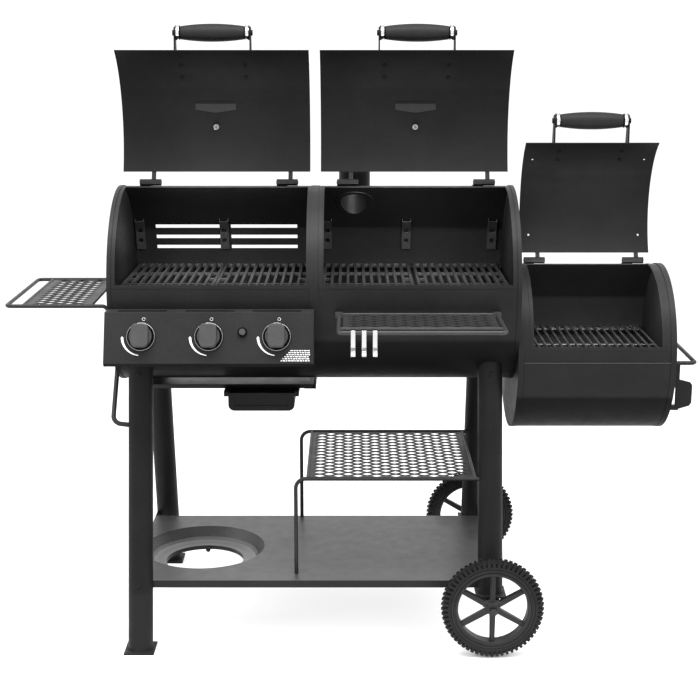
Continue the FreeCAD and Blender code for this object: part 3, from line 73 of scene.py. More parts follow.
GRIP_END_R = 0.0165
INK_GAP = 0.0001
ARC_R, ARC_START, ARC_SWEEP = 0.0445, 186, 78
ARC_WIDE, ARC_NARROW = 0.0020, 0.0009
ARROW_BASE, ARROW_TIP = (0.004, 184.5), (0.0002, 178.0)
OFF_MARK_UP, OFF_MARK_RIGHT, OFF_MARK_R = 0.0435, 0.006, (0.0031, 0.0038)
LABEL_RIGHT, LABEL_DOWN, LABEL_W, LABEL_SLANT = 0.010, 0.034, 0.071, 0.023
LABEL_ROWS, ROW_PITCH, DASH_H, DASH_GAP = 6, 0.0049, 0.0022, 0.0018
TRIM_R, TRIM_HALF_WIDTH, TRIM_HALF_HEIGHT, TRIM_LIFT = 0.0331, 0.0011, 0.0009, 0.0046
SEAM_R, SEAM_LIFT, CAP_RIM_WIDTH = 0.0011, 0.0006, 0.0145
LEG_SPACING, LEG_FROM_PLATE_EDGE = 0.8761, (0.0375, 0.0689)
FOOT_WELD_R, FOOT_WELD_BEAD, FOOT_PLATE_T = 0.0318, 0.0014, 0.004

# ---- lids: ends along X from ORIGIN_X, radii of the drums, and gaps outward from them ----
LARGE_LIDS = {"gas_lid": (-0.5779, -0.1011), "coal_lid": (-0.0743, 0.4025)}
SMALL_LID_ENDS = (0.443, 0.779)
LARGE_LID_R, LARGE_LID_ARC = 0.247, (94.6, 172.2)
SMALL_LID_R, SMALL_LID_ARC = 0.211, (82.6, 170.6)
HEM_GAP, DIAL_GAP, PLATE_GAP = 0.0022, 0.0192, -0.0002
HEM_R, HEM_INSET = 0.0013, 0.0015
GAUGE_ANGLE, PLATE_TOP_ANGLE = 120.5, 134.3

# ---- light -----------------------------------------------------------------------------
WORLD_STRENGTH = 1.15
LIT_POINT = (0, 0, 0.9)
SOFTBOXES = (("overhead", (0, -0.9, 3.4), (3.4, 1.6), 150),
             ("front", (-0.8, -4.2, 1.9), (3.0, 1.8), 14),
             ("right_strip", (3.0, -1.2, 2.0), (0.8, 2.2), 22),
             ("left_strip", (-3.0, -0.6, 2.0), (0.8, 2.2), 18))
CHAMBERS = (("gas", -0.352, 1.05), ("coal", 0.152, 1.05), ("firebox", 0.6, 0.86))
CHAMBER_POWER, UNDER_POWER = 2.4, 4.0


# ---- mesh helpers ------------------------------------------------------------------------
def piece(name, mesh_data, body, material, smooth_angle=35.0):
    """A finished piece on its body and its finish."""
    mesh_data.normal_update()
    mesh = bpy.data.meshes.new(name)
    mesh_data.to_mesh(mesh)
    mesh_data.free()
    mesh.materials.append(material)
    mesh.polygons.foreach_set("use_smooth", [True] * len(mesh.polygons))
    mesh.set_sharp_from_angle(angle=math.radians(smooth_angle))
    made = bpy.data.objects.new(name, mesh)
    bpy.context.scene.collection.objects.link(made)
    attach(made, body)
    return made


def side_of(axis):
    """A direction square to an axis."""
    other = Z_AXIS if abs(axis.z) < 0.9 else X_AXIS
    return (other - axis * other.dot(axis)).normalized()


def lathe(mesh_data, profile, centre, axis, steps=ROUND):
    """Turns a closed outline of (radius, height) points about an axis."""
    side = side_of(axis)
    across = axis.cross(side)
    rings = []
    for step in range(steps):
        angle = 2 * math.pi * step / steps
        out = side * math.cos(angle) + across * math.sin(angle)
        rings.append([mesh_data.verts.new(centre + out * r + axis * h) for r, h in profile])
    for ring, after in zip(rings, rings[1:] + rings[:1]):
        for i in range(len(profile)):
            j = (i + 1) % len(profile)
            mesh_data.faces.new((ring[i], after[i], after[j], ring[j]))
    bmesh.ops.remove_doubles(mesh_data, verts=mesh_data.verts, dist=1e-7)
    bmesh.ops.recalc_face_normals(mesh_data, faces=mesh_data.faces)


def block(mesh_data, corners):
    """A six-sided block from four low corners and four high corners in the same order."""
    v = [mesh_data.verts.new(c) for c in corners]
    made = [mesh_data.faces.new([v[i] for i in face]) for face in
            ((3, 2, 1, 0), (4, 5, 6, 7), (0, 1, 5, 4), (1, 2, 6, 5), (2, 3, 7, 6), (3, 0, 4, 7))]
    bmesh.ops.recalc_face_normals(mesh_data, faces=made)
    return made


def tube(mesh_data, path, radius, sides=12, closed=False):
    """A round bead along a list of points."""
    rings = []
    count = len(path)
    side = None
    for i, point in enumerate(path):
        before = path[(i - 1) % count] if closed or i else point
        after = path[(i + 1) % count] if closed or i < count - 1 else point
        along = (after - before).normalized()
        side = side_of(along) if side is None else (side - along * side.dot(along)).normalized()
        across = along.cross(side)
        rings.append([mesh_data.verts.new(point + (side * math.cos(a) + across * math.sin(a)) * radius)
                      for a in (2 * math.pi * k / sides for k in range(sides))])
    pairs = zip(rings, rings[1:] + rings[:1]) if closed else zip(rings, rings[1:])
    for ring, after in pairs:
        for k in range(sides):
            n = (k + 1) % sides
            mesh_data.faces.new((ring[k], ring[n], after[n], after[k]))
    if not closed:
        mesh_data.faces.new(list(reversed(rings[0])))
        mesh_data.faces.new(rings[-1])
    bmesh.ops.recalc_face_normals(mesh_data, faces=mesh_data.faces)


# ---- finishes ---------------------------------------------------------------------------
def nodes_of(name):
    """A new material with its tree and shader."""
    material = bpy.data.materials.new(name)
    material.use_nodes = True
    tree = material.node_tree
    return material, tree, tree.nodes["Principled BSDF"]


def noise(tree, scale, detail=3.0, roughness=0.55):
    """Noise in the object's own metres."""
    place = tree.nodes.new("ShaderNodeTexCoord")
    texture = tree.nodes.new("ShaderNodeTexNoise")
    texture.inputs["Scale"].default_value = scale
    texture.inputs["Detail"].default_value = detail
    texture.inputs["Roughness"].default_value = roughness
    tree.links.new(place.outputs["Object"], texture.inputs["Vector"])
    return texture.outputs["Fac"]


def pores(tree, scale):
    """Small round pits in the object's own metres."""
    place = tree.nodes.new("ShaderNodeTexCoord")
    texture = tree.nodes.new("ShaderNodeTexVoronoi")
    texture.inputs["Scale"].default_value = scale
    tree.links.new(place.outputs["Object"], texture.inputs["Vector"])
    return texture.outputs["Distance"]


def ramp(tree, value, low, high, first=0.35, last=0.65):
    """Two colours mixed by a value."""
    node = tree.nodes.new("ShaderNodeValToRGB")
    node.color_ramp.elements[0].position = first
    node.color_ramp.elements[1].position = last
    node.color_ramp.elements[0].color = (*low, 1)
    node.color_ramp.elements[1].color = (*high, 1)
    tree.links.new(value, node.inputs["Fac"])
    return node.outputs["Color"]


def spread(tree, value, low, high, limits=(0.3, 0.7)):
    """A value mapped to a range."""
    node = tree.nodes.new("ShaderNodeMapRange")
    node.inputs["From Min"].default_value, node.inputs["From Max"].default_value = limits
    node.inputs["To Min"].default_value = low
    node.inputs["To Max"].default_value = high
    tree.links.new(value, node.inputs["Value"])
    return node.outputs["Result"]


def edge_mask(tree, radius):
    """1 on edges and 0 on flat faces, from the turn between the rounded and the true normal."""
    bevel = tree.nodes.new("ShaderNodeBevel")
    bevel.samples = 4
    bevel.inputs["Radius"].default_value = radius
    true = tree.nodes.new("ShaderNodeNewGeometry")
    dot = tree.nodes.new("ShaderNodeVectorMath")
    dot.operation = "DOT_PRODUCT"
    tree.links.new(bevel.outputs["Normal"], dot.inputs[0])
    tree.links.new(true.outputs["Normal"], dot.inputs[1])
    mask = tree.nodes.new("ShaderNodeMapRange")
    mask.inputs["From Min"].default_value = 0.995
    mask.inputs["From Max"].default_value = 0.80
    tree.links.new(dot.outputs["Value"], mask.inputs["Value"])
    return bevel.outputs["Normal"], mask.outputs["Result"]


def mixed(tree, share, first, second):
    """Two colours mixed by a mask; the second is a plain colour."""
    node = tree.nodes.new("ShaderNodeMix")
    node.data_type = "RGBA"
    tree.links.new(share, node.inputs["Factor"])
    tree.links.new(first, node.inputs["A"])
    node.inputs["B"].default_value = (*second, 1)
    return node.outputs["Result"]


def bump(tree, height, depth, normal=None, strength=1.0):
    node = tree.nodes.new("ShaderNodeBump")
    node.inputs["Strength"].default_value = strength
    node.inputs["Distance"].default_value = depth
    tree.links.new(height, node.inputs["Height"])
    if normal is not None:
        tree.links.new(normal, node.inputs["Normal"])
    return node.outputs["Normal"]


def painted_shade_by_facing(tree, below, level, above):
    """Painted shade: a colour factor that follows how far a face looks down, sideways or up, darker down and paler
    up.
    """
    normal = tree.nodes.new("ShaderNodeNewGeometry")
    height = tree.nodes.new("ShaderNodeSeparateXYZ")
    tree.links.new(normal.outputs["Normal"], height.inputs["Vector"])
    share = spread(tree, height.outputs["Z"], 0.0, 1.0, (-1.0, 1.0))
    stops = tree.nodes.new("ShaderNodeValToRGB")
    stops.color_ramp.elements[0].color = (*[below * 0.8] * 3, 1)
    stops.color_ramp.elements[1].color = (*[above] * 3, 1)
    for place, value in ((0.27, below), (0.295, level * 0.85), (0.55, level)):
        stops.color_ramp.elements.new(place).color = (*[value] * 3, 1)
    tree.links.new(share, stops.inputs["Fac"])
    return stops.outputs["Color"]


def times(tree, first, second):
    """Two colours multiplied."""
    product = tree.nodes.new("ShaderNodeMix")
    product.data_type = "RGBA"
    product.blend_type = "MULTIPLY"
    product.clamp_result = False
    product.inputs["Factor"].default_value = 1.0
    tree.links.new(first, product.inputs["A"])
    tree.links.new(second, product.inputs["B"])
    return product.outputs["Result"]


def coated(name, shade, roughness, specular=0.35, grain=900.0, depth=0.00006, edge=0.0009, wear=1.9,
           painted_shade_levels=(0.32, 0.88, 1.8)):
    """Powder coat or baked paint: orange peel, cloudy tone, fine speckle and rubbed edges.

    Painted shade: faces that look up are painted paler and the ones that look down darker, and the specular level
    follows the same painted shade.
    """
    material, tree, shader = nodes_of(name)
    tone = [shade * 0.86, shade * 0.86, shade * 0.87]
    light = [shade * 1.16, shade * 1.15, shade * 1.16]
    cloud = ramp(tree, noise(tree, 7.0, 4.0), tone, light)
    speck = times(tree, cloud, ramp(tree, noise(tree, 420.0, 2.0), (0.8, 0.8, 0.8), (1.2, 1.2, 1.2)))
    normal, mask = edge_mask(tree, edge)
    rubbed = mixed(tree, mask, speck, [shade * wear] * 3)
    # Painted shade: the colour is paler on faces that look up and darker on faces that look down.
    film_and_painted_shade = painted_shade_by_facing(tree, *painted_shade_levels)
    tree.links.new(times(tree, rubbed, film_and_painted_shade), shader.inputs["Base Color"])
    tree.links.new(spread(tree, noise(tree, 30.0), roughness - 0.05, roughness + 0.06),
                   shader.inputs["Roughness"])
    tree.links.new(bump(tree, noise(tree, grain, 2.0), depth, normal), shader.inputs["Normal"])
    gloss = spread(tree, film_and_painted_shade, 0.0, specular, (0.0, 1.0))
    tree.links.new(gloss, shader.inputs["Specular IOR Level"])
    return material


def cast(name, shade, roughness):
    """Seasoned iron: sand-cast grain, pits and an oily dark film."""
    material, tree, shader = nodes_of(name)
    oily = [shade * 1.3, shade * 1.27, shade * 1.24]
    film_and_painted_shade = ramp(tree, noise(tree, 38.0, 5.0), [shade * 0.7] * 3, oily)
    tree.links.new(film_and_painted_shade, shader.inputs["Base Color"])
    tree.links.new(spread(tree, noise(tree, 60.0), roughness - 0.1, roughness + 0.12),
                   shader.inputs["Roughness"])
    normal, _ = edge_mask(tree, 0.0012)
    pitted = bump(tree, pores(tree, 520.0), 0.00012, normal, 0.5)
    tree.links.new(bump(tree, noise(tree, 360.0), 0.00018, pitted), shader.inputs["Normal"])
    shader.inputs["Specular IOR Level"].default_value = 0.6
    return material


def metal(name, colour, roughness, streak, depth=0.00001):
    """Bare metal with fine drawn streaks and slight stains."""
    material, tree, shader = nodes_of(name)
    place = tree.nodes.new("ShaderNodeTexCoord")
    stretch = tree.nodes.new("ShaderNodeMapping")
    stretch.inputs["Scale"].default_value = streak
    lines = tree.nodes.new("ShaderNodeTexNoise")
    lines.inputs["Scale"].default_value = 700.0
    tree.links.new(place.outputs["Object"], stretch.inputs["Vector"])
    tree.links.new(stretch.outputs["Vector"], lines.inputs["Vector"])
    dark = [c * 0.88 for c in colour]
    tree.links.new(ramp(tree, noise(tree, 26.0, 4.0), dark, colour), shader.inputs["Base Color"])
    tree.links.new(spread(tree, lines.outputs["Fac"], roughness - 0.04, roughness + 0.06),
                   shader.inputs["Roughness"])
    normal, _ = edge_mask(tree, 0.0008)
    tree.links.new(bump(tree, lines.outputs["Fac"], depth, normal), shader.inputs["Normal"])
    shader.inputs["Metallic"].default_value = 1.0
    return material


def moulded(name, shade, roughness, grain, depth, specular=0.5):
    """Moulded plastic or rubber with a fine etched grain."""
    material, tree, shader = nodes_of(name)
    tree.links.new(ramp(tree, noise(tree, 45.0, 3.0), [shade * 0.9] * 3, [shade * 1.1] * 3),
                   shader.inputs["Base Color"])
    tree.links.new(spread(tree, noise(tree, 90.0), roughness - 0.04, roughness + 0.05),
                   shader.inputs["Roughness"])
    normal, _ = edge_mask(tree, 0.0012)
    tree.links.new(bump(tree, pores(tree, grain), depth, normal, 0.6), shader.inputs["Normal"])
    shader.inputs["Specular IOR Level"].default_value = specular
    return material


def printed(name, colour, roughness=0.5):
    """Screen-printed ink with slightly uneven cover."""
    material, tree, shader = nodes_of(name)
    faded = [c * 0.9 for c in colour]
    tree.links.new(ramp(tree, noise(tree, 600.0, 3.0), faded, colour), shader.inputs["Base Color"])
    shader.inputs["Roughness"].default_value = roughness
    tree.links.new(bump(tree, noise(tree, 900.0), 0.00002), shader.inputs["Normal"])
    return material


def clear(name):
    """Thin instrument glass."""
    material, tree, shader = nodes_of(name)
    shader.inputs["Transmission Weight"].default_value = 1.0
    shader.inputs["IOR"].default_value = 1.45
    tree.links.new(spread(tree, noise(tree, 40.0), 0.02, 0.08), shader.inputs["Roughness"])
    return material


# The shade levels given to each coat (down, sideways, up) are painted shade: faces that look down are painted
# darker and faces that look up paler.
FINISH = {
    "barrel_paint": coated("barrel_coat", 0.012, 0.46, 0.14),
    "lid_paint": coated("lid_coat", 0.009, 0.52, 0.08, painted_shade_levels=(0.78, 0.84, 1.0)),
    "inner_paint": coated("inner_coat", 0.030, 0.62, 0.12),
    "frame_paint": coated("frame_coat", 0.009, 0.50, 0.10, painted_shade_levels=(0.5, 0.9, 1.5)),
    "shelf_paint": coated("shelf_coat", 0.045, 0.42, 0.9, depth=0.00008, painted_shade_levels=(0.15, 0.2, 1.06)),
    "wire_paint": coated("wire_coat", 0.014, 0.42, 0.25, edge=0.0005),
    "cast_iron": cast("seasoned_iron", 0.024, 0.46),
    "bare_steel": metal("rolled_steel", (0.14, 0.135, 0.13), 0.46, (1, 0.03, 1)),
    "bright_steel": metal("polished_steel", (0.72, 0.72, 0.73), 0.16, (1, 1, 0.05)),
    "valve_metal": metal("valve_alloy", (0.5, 0.5, 0.5), 0.42, (1, 1, 1)),
    "grip_plastic": moulded("grip_moulding", 0.011, 0.55, 900.0, 0.00008, 0.16),
    "knob_plastic": moulded("knob_moulding", 0.034, 0.40, 1400.0, 0.00003, 0.4),
    "wheel_plastic": moulded("wheel_moulding", 0.013, 0.46, 1100.0, 0.00006, 0.2),
    "tyre_rubber": moulded("tyre_compound", 0.009, 0.60, 1000.0, 0.00008, 0.14),
}
SMOKED_STEEL = metal("smoked_steel", (0.006, 0.006, 0.007), 0.40, (1, 1, 0.05))
TRIM_STEEL = metal("trim_steel", (0.30, 0.30, 0.31), 0.28, (1, 1, 0.05))
DARK_ZINC = metal("dark_zinc", (0.035, 0.035, 0.035), 0.34, (1, 1, 1))
FITTING_COAT = coated("fitting_coat", 0.026, 0.42, 0.35, edge=0.0005, painted_shade_levels=(0.9, 1.0, 1.2))
INK = printed("white_ink", (0.86, 0.86, 0.86))
DIAL = printed("dial_face", (0.80, 0.79, 0.76))
DIAL_INK = printed("dial_marks", (0.02, 0.02, 0.02))
GLASS = clear("dial_glass")


def finish_nodes():
    """Gives every carried-over node the finish of its slot."""
    slots = {part["node"]: part["material_slot"] for part in frame["record"]["subparts"]}
    for name, node in frame["nodes"].items():
        node.data.materials.clear()
        node.data.materials.append(FINISH[slots[name]])
    own = {"knob_bezels": SMOKED_STEEL, "axle": DARK_ZINC, "grease_tray": FINISH["shelf_paint"],
           "front_shelf_frame": FITTING_COAT, "gas_lid_gauge": TRIM_STEEL, "coal_lid_gauge": TRIM_STEEL}
    for name, finish in own.items():
        frame["nodes"][name].data.materials[0] = finish


# ---- wheels ---------------------------------------------------------------------------------
def tyre(name):
    """Tyre with rounded shoulders and two staggered rows of tread lugs."""
    low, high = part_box("tyre_" + name)
    centre, radius = (low + high) / 2, (high.z - low.z) / 2
    half = (high.y - low.y) / 2
    body, rim = radius - LUG_H, RIM_OUTER
    shoulder, wall = 0.008, -half + SHOULDER_DROP
    profile = [(rim, -half + 0.005), (rim + 0.0015, -half + 0.0020), (rim + 0.004, -half + 0.0004),
               (rim + 0.006, -half), (rim + 0.0085, -half + 0.0006), (body - 0.0115, wall)]
    for k in range(7):
        angle = math.pi / 12 * k
        reach = body - shoulder + shoulder * math.sin(angle)
        profile.append((reach, wall + shoulder * (1 - math.cos(angle))))
    profile += [(r, -h) for r, h in reversed(profile)]
    mesh_data = bmesh.new()
    lathe(mesh_data, profile, centre, Y_AXIS, 120)
    for row, side in enumerate((-1, 1)):
        for i in range(LUGS):
            lug(mesh_data, centre, body, half, side, 2 * math.pi * (i + row / 2) / LUGS)
    made = piece("tyre_" + name + "_tread", mesh_data, "wheel_" + name,
                 FINISH["tyre_rubber"])
    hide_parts("tyre_" + name)


def lug(mesh_data, centre, body, half, side, angle):
    """One tread block over a shoulder, tapered to its top."""
    out = X_AXIS * math.cos(angle) + Z_AXIS * math.sin(angle)
    along = out.cross(Y_AXIS) * 0.0038
    top_along = along * 0.72
    near, far = side * (half - 0.0004), side * (half - LUG_SPAN)
    low = [centre + out * (body - r) + along * s + Y_AXIS * y
           for s, y, r in ((-1, near, 0.0115), (1, near, 0.0115), (1, far, 0.002), (-1, far, 0.002))]
    high = [centre + out * (body + LUG_H - drop) + top_along * s + Y_AXIS * y
            for s, y, drop in ((-1, near, 0.0045), (1, near, 0.0045), (1, far, 0.0), (-1, far, 0.0))]
    block(mesh_data, low + high)


def wheel(name):
    """Rim with a raised lip and bead, six round-edged spokes and a stepped hub."""
    low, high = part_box("wheel_" + name)
    centre = (low + high) / 2
    half, hub_half = RIM_HALF, (high.y - low.y) / 2
    inner, outer = RIM_INNER, RIM_OUTER
    lip = [(inner, -half + 0.003), (inner + 0.0015, -half + 0.0008), (inner + 0.004, -half),
           (inner + 0.007, -half + 0.0012), (inner + 0.0085, -half + 0.004),
           (inner + 0.0115, -half + 0.004),
           (inner + 0.0135, -half + 0.0008), (outer, -half + 0.0004)]
    rim = lip + [(r, -h) for r, h in reversed(lip)]
    mesh_data = bmesh.new()
    lathe(mesh_data, rim, centre, Y_AXIS, 96)
    hub_r, bore = HUB_R, HUB_BORE
    hub = [(bore, -hub_half), (hub_r - 0.005, -hub_half), (hub_r - 0.003, -hub_half + 0.0015),
           (hub_r - 0.003, -hub_half + 0.006), (hub_r, -hub_half + 0.0075)]
    lathe(mesh_data, hub + [(r, -h) for r, h in reversed(hub)], centre, Y_AXIS, 48)
    for i in range(SPOKES):
        spoke(mesh_data, centre, hub_r - 0.002, inner + 0.002, math.pi / 2 + 2 * math.pi * i / SPOKES)
    made = piece("wheel_" + name + "_shape", mesh_data, "wheel_" + name,
                 FINISH["wheel_plastic"], 30)
    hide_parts("wheel_" + name)


def spoke(mesh_data, centre, start, end, angle):
    """One spoke of eight-sided section, wider at the hub."""
    out = X_AXIS * math.cos(angle) + Z_AXIS * math.sin(angle)
    along = out.cross(Y_AXIS)
    rings = []
    for reach, wide, deep in zip((start, end), SPOKE_HALF_WIDTHS, SPOKE_HALF_DEPTHS):
        cut = wide * 0.4
        section = [(wide - cut, -deep), (wide, -deep + cut), (wide, deep - cut), (wide - cut, deep)]
        section += [(-w, -d) for w, d in section]
        foot = centre + out * reach
        rings.append([mesh_data.verts.new(foot + along * w + Y_AXIS * d) for w, d in section])
    count = len(rings[0])
    made = []
    for k in range(count):
        n = (k + 1) % count
        made.append(mesh_data.faces.new((rings[0][k], rings[0][n], rings[1][n], rings[1][k])))
    made += [mesh_data.faces.new(rings[0]), mesh_data.faces.new(rings[1])]
    bmesh.ops.recalc_face_normals(mesh_data, faces=made)


# ---- lid handles ------------------------------------------------------------------------------
def grip(lid):
    """Barrel-shaped grip with a rounded shoulder at each end, and its two bright ferrules."""
    low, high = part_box(lid + "_grip")
    centre, half = (low + high) / 2, (high.x - low.x) / 2
    middle, end = (high.z - low.z) / 2, GRIP_END_R
    profile = [(0.0, -half), (end - 0.004, -half), (end - 0.001, -half + 0.0012), (end, -half + 0.004)]
    steps = 18
    for k in range(1, steps):
        share = -1 + 2 * k / steps
        profile.append((middle - (middle - end) * share * share, share * (half - 0.004)))
    profile += [(r, -h) for r, h in reversed(profile[:4])]
    mesh_data = bmesh.new()
    lathe(mesh_data, profile, centre, X_AXIS)
    made = piece(lid + "_grip_shape", mesh_data, lid, FINISH["grip_plastic"], 60)
    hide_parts(lid + "_grip")
    for word, side in (("left", -1), ("right", 1)):
        ferrule(lid, word, centre + X_AXIS * side * half, X_AXIS * side)


def ferrule(lid, word, start, axis):
    """Polished ring between the grip and its bracket, with rolled edges."""
    length, radius, edge = 0.0098, 0.0182, 0.0015
    profile = [(0.014, 0.0002), (radius - edge, 0.0002), (radius, edge), (radius, length - edge),
               (radius - edge, length), (0.014, length)]
    mesh_data = bmesh.new()
    lathe(mesh_data, profile, start, axis)
    piece("%s_ferrule_%s" % (lid, word), mesh_data, lid, FINISH["bright_steel"], 50)


# ---- panel marks -------------------------------------------------------------------------------
def knob_axes(name):
    """A knob's place on the panel, and the panel's outward, up and right directions there."""
    joint = JOINTS["knob_%s_turn" % name]
    normal = Vector(joint["axis"]).normalized()
    up = (Z_AXIS - normal * Z_AXIS.dot(normal)).normalized()
    return Vector(joint["pos_m"]), normal, up, up.cross(normal)


def panel_marks(name):
    """A small circle and a tapered arc with an arrowhead beside one knob."""
    place, normal, up, right = knob_axes(name)
    centre = place + normal * INK_GAP

    def at(radius, degrees):
        angle = math.radians(degrees)
        return centre + right * math.cos(angle) * radius + up * math.sin(angle) * radius

    mesh_data = bmesh.new()
    steps = 28
    arc = []
    for k in range(steps + 1):
        share = k / steps
        angle = ARC_START + share * ARC_SWEEP
        width = ARC_WIDE * (1 - share) + ARC_NARROW
        arc.append((at(ARC_R - width, angle), at(ARC_R + width, angle)))
    strip(mesh_data, arc, normal)
    arrow = [(at(ARC_R - wide, angle), at(ARC_R + wide, angle))
             for wide, angle in (ARROW_BASE, ARROW_TIP)]
    strip(mesh_data, arrow, normal)
    spot = centre + up * OFF_MARK_UP + right * OFF_MARK_RIGHT
    ring = []
    for k in range(steps + 1):
        angle = 2 * math.pi * k / steps
        out = right * math.cos(angle) + up * math.sin(angle)
        ring.append((spot + out * OFF_MARK_R[0], spot + out * OFF_MARK_R[1]))
    strip(mesh_data, ring, normal)
    piece("knob_%s_marks" % name, mesh_data, "smoker_frame", INK)


def knob_trim(name):
    """Thin bright ring round one knob."""
    place, normal, _, _ = knob_axes(name)
    profile = [(TRIM_R + TRIM_HALF_WIDTH * math.cos(a), TRIM_LIFT + TRIM_HALF_HEIGHT * math.sin(a))
               for a in (2 * math.pi * k / 10 for k in range(10))]
    mesh_data = bmesh.new()
    lathe(mesh_data, profile, place, normal)
    piece("knob_%s_trim" % name, mesh_data, "smoker_frame", TRIM_STEEL)


def strip(mesh_data, pairs, normal, thickness=0.00025):
    """A thin printed strip between pairs of points."""
    low = [[mesh_data.verts.new(p) for p in pair] for pair in pairs]
    high = [[mesh_data.verts.new(p + normal * thickness) for p in pair] for pair in pairs]
    made = []
    for i in range(len(pairs) - 1):
        made.append(mesh_data.faces.new((high[i][0], high[i][1], high[i + 1][1], high[i + 1][0])))
        made.append(mesh_data.faces.new((low[i][0], low[i + 1][0], low[i + 1][1], low[i][1])))
        for k in (0, 1):
            made.append(mesh_data.faces.new((low[i][k], high[i][k], high[i + 1][k], low[i + 1][k])))
    for i in (0, -1):
        made.append(mesh_data.faces.new((low[i][0], low[i][1], high[i][1], high[i][0])))
    bmesh.ops.recalc_face_normals(mesh_data, faces=made)


def panel_label():
    """Generic printed block: rows of short dashes near the panel's right end."""
    place, normal, up, right = knob_axes("right")
    corner = place + right * LABEL_RIGHT - up * LABEL_DOWN + normal * INK_GAP
    mesh_data = bmesh.new()
    for row in range(LABEL_ROWS):
        start = LABEL_SLANT * (1 - row / (LABEL_ROWS - 1))
        while start < LABEL_W - 0.004:
            length = min(0.0046 + 0.0018 * math.sin(row * 2.1 + start * 600), LABEL_W - start)
            low = corner + right * start - up * row * ROW_PITCH
            end = low + right * length
            strip(mesh_data, [(low, low + up * DASH_H), (end, end + up * DASH_H)], normal)
            start += length + DASH_GAP
    piece("panel_label", mesh_data, "smoker_frame", INK)


# ---- lid edges and dials -----------------------------------------------------------------------
class Lid:
    """Where a lid's points stand once it has been opened about its hinge."""

    def __init__(self, name, centre_z):
        joint = JOINTS[name + "_hinge"]
        self.name = name
        self.hinge = Vector(joint["pos_m"])
        self.turn = Matrix.Rotation(-math.radians(joint["range_deg"][1]), 3, "X")
        self.axis = Vector((self.hinge.x, BARREL_MID.y, centre_z))

    def direction(self, degrees):
        angle = math.radians(degrees)
        return self.turn @ Vector((0, math.cos(angle), math.sin(angle)))

    def point(self, radius, degrees, x):
        angle = math.radians(degrees)
        closed = self.axis + Vector((0, radius * math.cos(angle), radius * math.sin(angle)))
        opened = self.hinge + self.turn @ (closed - self.hinge)
        return Vector((x, opened.y, opened.z))


def lid_hem(lid, radius, arc, ends):
    """Rounded hem along a lid's free edge and down both of its sides."""
    steps = 24
    angles = [arc[0] + (arc[1] - arc[0]) * k / steps for k in range(steps + 1)]
    path = [lid.point(radius, angle, ends[0]) for angle in angles]
    path += [lid.point(radius, angle, ends[1]) for angle in reversed(angles)]
    mesh_data = bmesh.new()
    tube(mesh_data, path, HEM_R, 10)
    piece(lid.name + "_hem", mesh_data, lid.name, FINISH["lid_paint"], 60)


def lid_plate_face(lid, radius, x):
    """Face of the small five-sided plate inside a large lid, its lower edge drawn to a point."""
    half, side_drop, point_drop = 0.0515, 3.6, 5.5
    pairs = []
    for shift, drop in ((-half, side_drop), (0.0, point_drop), (half, side_drop)):
        pairs.append((lid.point(radius, PLATE_TOP_ANGLE, x + shift),
                      lid.point(radius, PLATE_TOP_ANGLE - drop, x + shift)))
    mesh_data = bmesh.new()
    strip(mesh_data, pairs, -lid.direction(PLATE_TOP_ANGLE - side_drop / 2), 0.0004)
    piece(lid.name + "_plate", mesh_data, lid.name, FINISH["wire_paint"])


def hem_ends(ends):
    """A lid's two ends in the model's frame, drawn in so the hem clears the cap rims."""
    return ends[0] + ORIGIN_X + HEM_INSET, ends[1] + ORIGIN_X - HEM_INSET


def dial(lid, radius, degrees, x):
    """Thermometer face with a ring of marks, a pointer on a boss, and a domed glass."""
    out = lid.direction(degrees)
    centre = lid.point(radius, degrees, x)
    side = X_AXIS
    up = out.cross(side)

    def at(reach, turn):
        angle = math.radians(turn)
        return centre + side * math.sin(angle) * reach + up * math.cos(angle) * reach

    face = bmesh.new()
    lathe(face, [(0.0, 0.0), (0.0338, 0.0), (0.0338, 0.0006), (0.0, 0.0006)], centre, out)
    piece(lid.name + "_dial", face, lid.name, DIAL)
    marks = bmesh.new()
    for k in range(31):
        turn = -135 + 9 * k
        reach = 0.0245 if k % 5 == 0 else 0.0275
        width = 1.1 if k % 5 == 0 else 0.6
        line = [(at(reach, turn - width), at(reach, turn + width)),
                (at(0.0315, turn - width), at(0.0315, turn + width))]
        strip(marks, [(p + out * 0.0006, q + out * 0.0006) for p, q in line], out)
    pointer = [(at(0.006, 135), at(0.006, 165)), (at(0.0265, -31), at(0.0265, -29))]
    strip(marks, [(p + out * 0.0012, q + out * 0.0012) for p, q in pointer], out, 0.0005)
    lathe(marks, [(0.0, 0.0005), (0.0035, 0.0005), (0.003, 0.0019), (0.0, 0.0022)], centre, out, 24)
    piece(lid.name + "_dial_marks", marks, lid.name, DIAL_INK)
    rim = [(0.0336, 0.0006), (0.0338, 0.0020), (0.0290, 0.0026), (0.0150, 0.0030), (0.0, 0.0032)]
    glass = bmesh.new()
    lathe(glass, rim + [(r * 0.985, h - 0.0004) for r, h in reversed(rim[1:])], centre, out)
    piece(lid.name + "_glass", glass, lid.name, GLASS)


# ---- beads and seams ----------------------------------------------------------------------------
def firebox_seam():
    """Folded top edge of the firebox's lower skin, in a paler coat than the barrel that paints the highlight along
    the fold.
    """
    caps_low, caps_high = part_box("firebox_caps")
    mid = (caps_low + caps_high) / 2
    edge = mid.y - (caps_high.z - caps_low.z) / 2 + SEAM_LIFT
    mesh_data = bmesh.new()
    ends = [Vector((caps_low.x + CAP_RIM_WIDTH, edge, mid.z)),
            Vector((caps_high.x - CAP_RIM_WIDTH, edge, mid.z))]
    tube(mesh_data, ends, SEAM_R, 12)
    piece("firebox_seam", mesh_data, "smoker_frame", FITTING_COAT, 60)


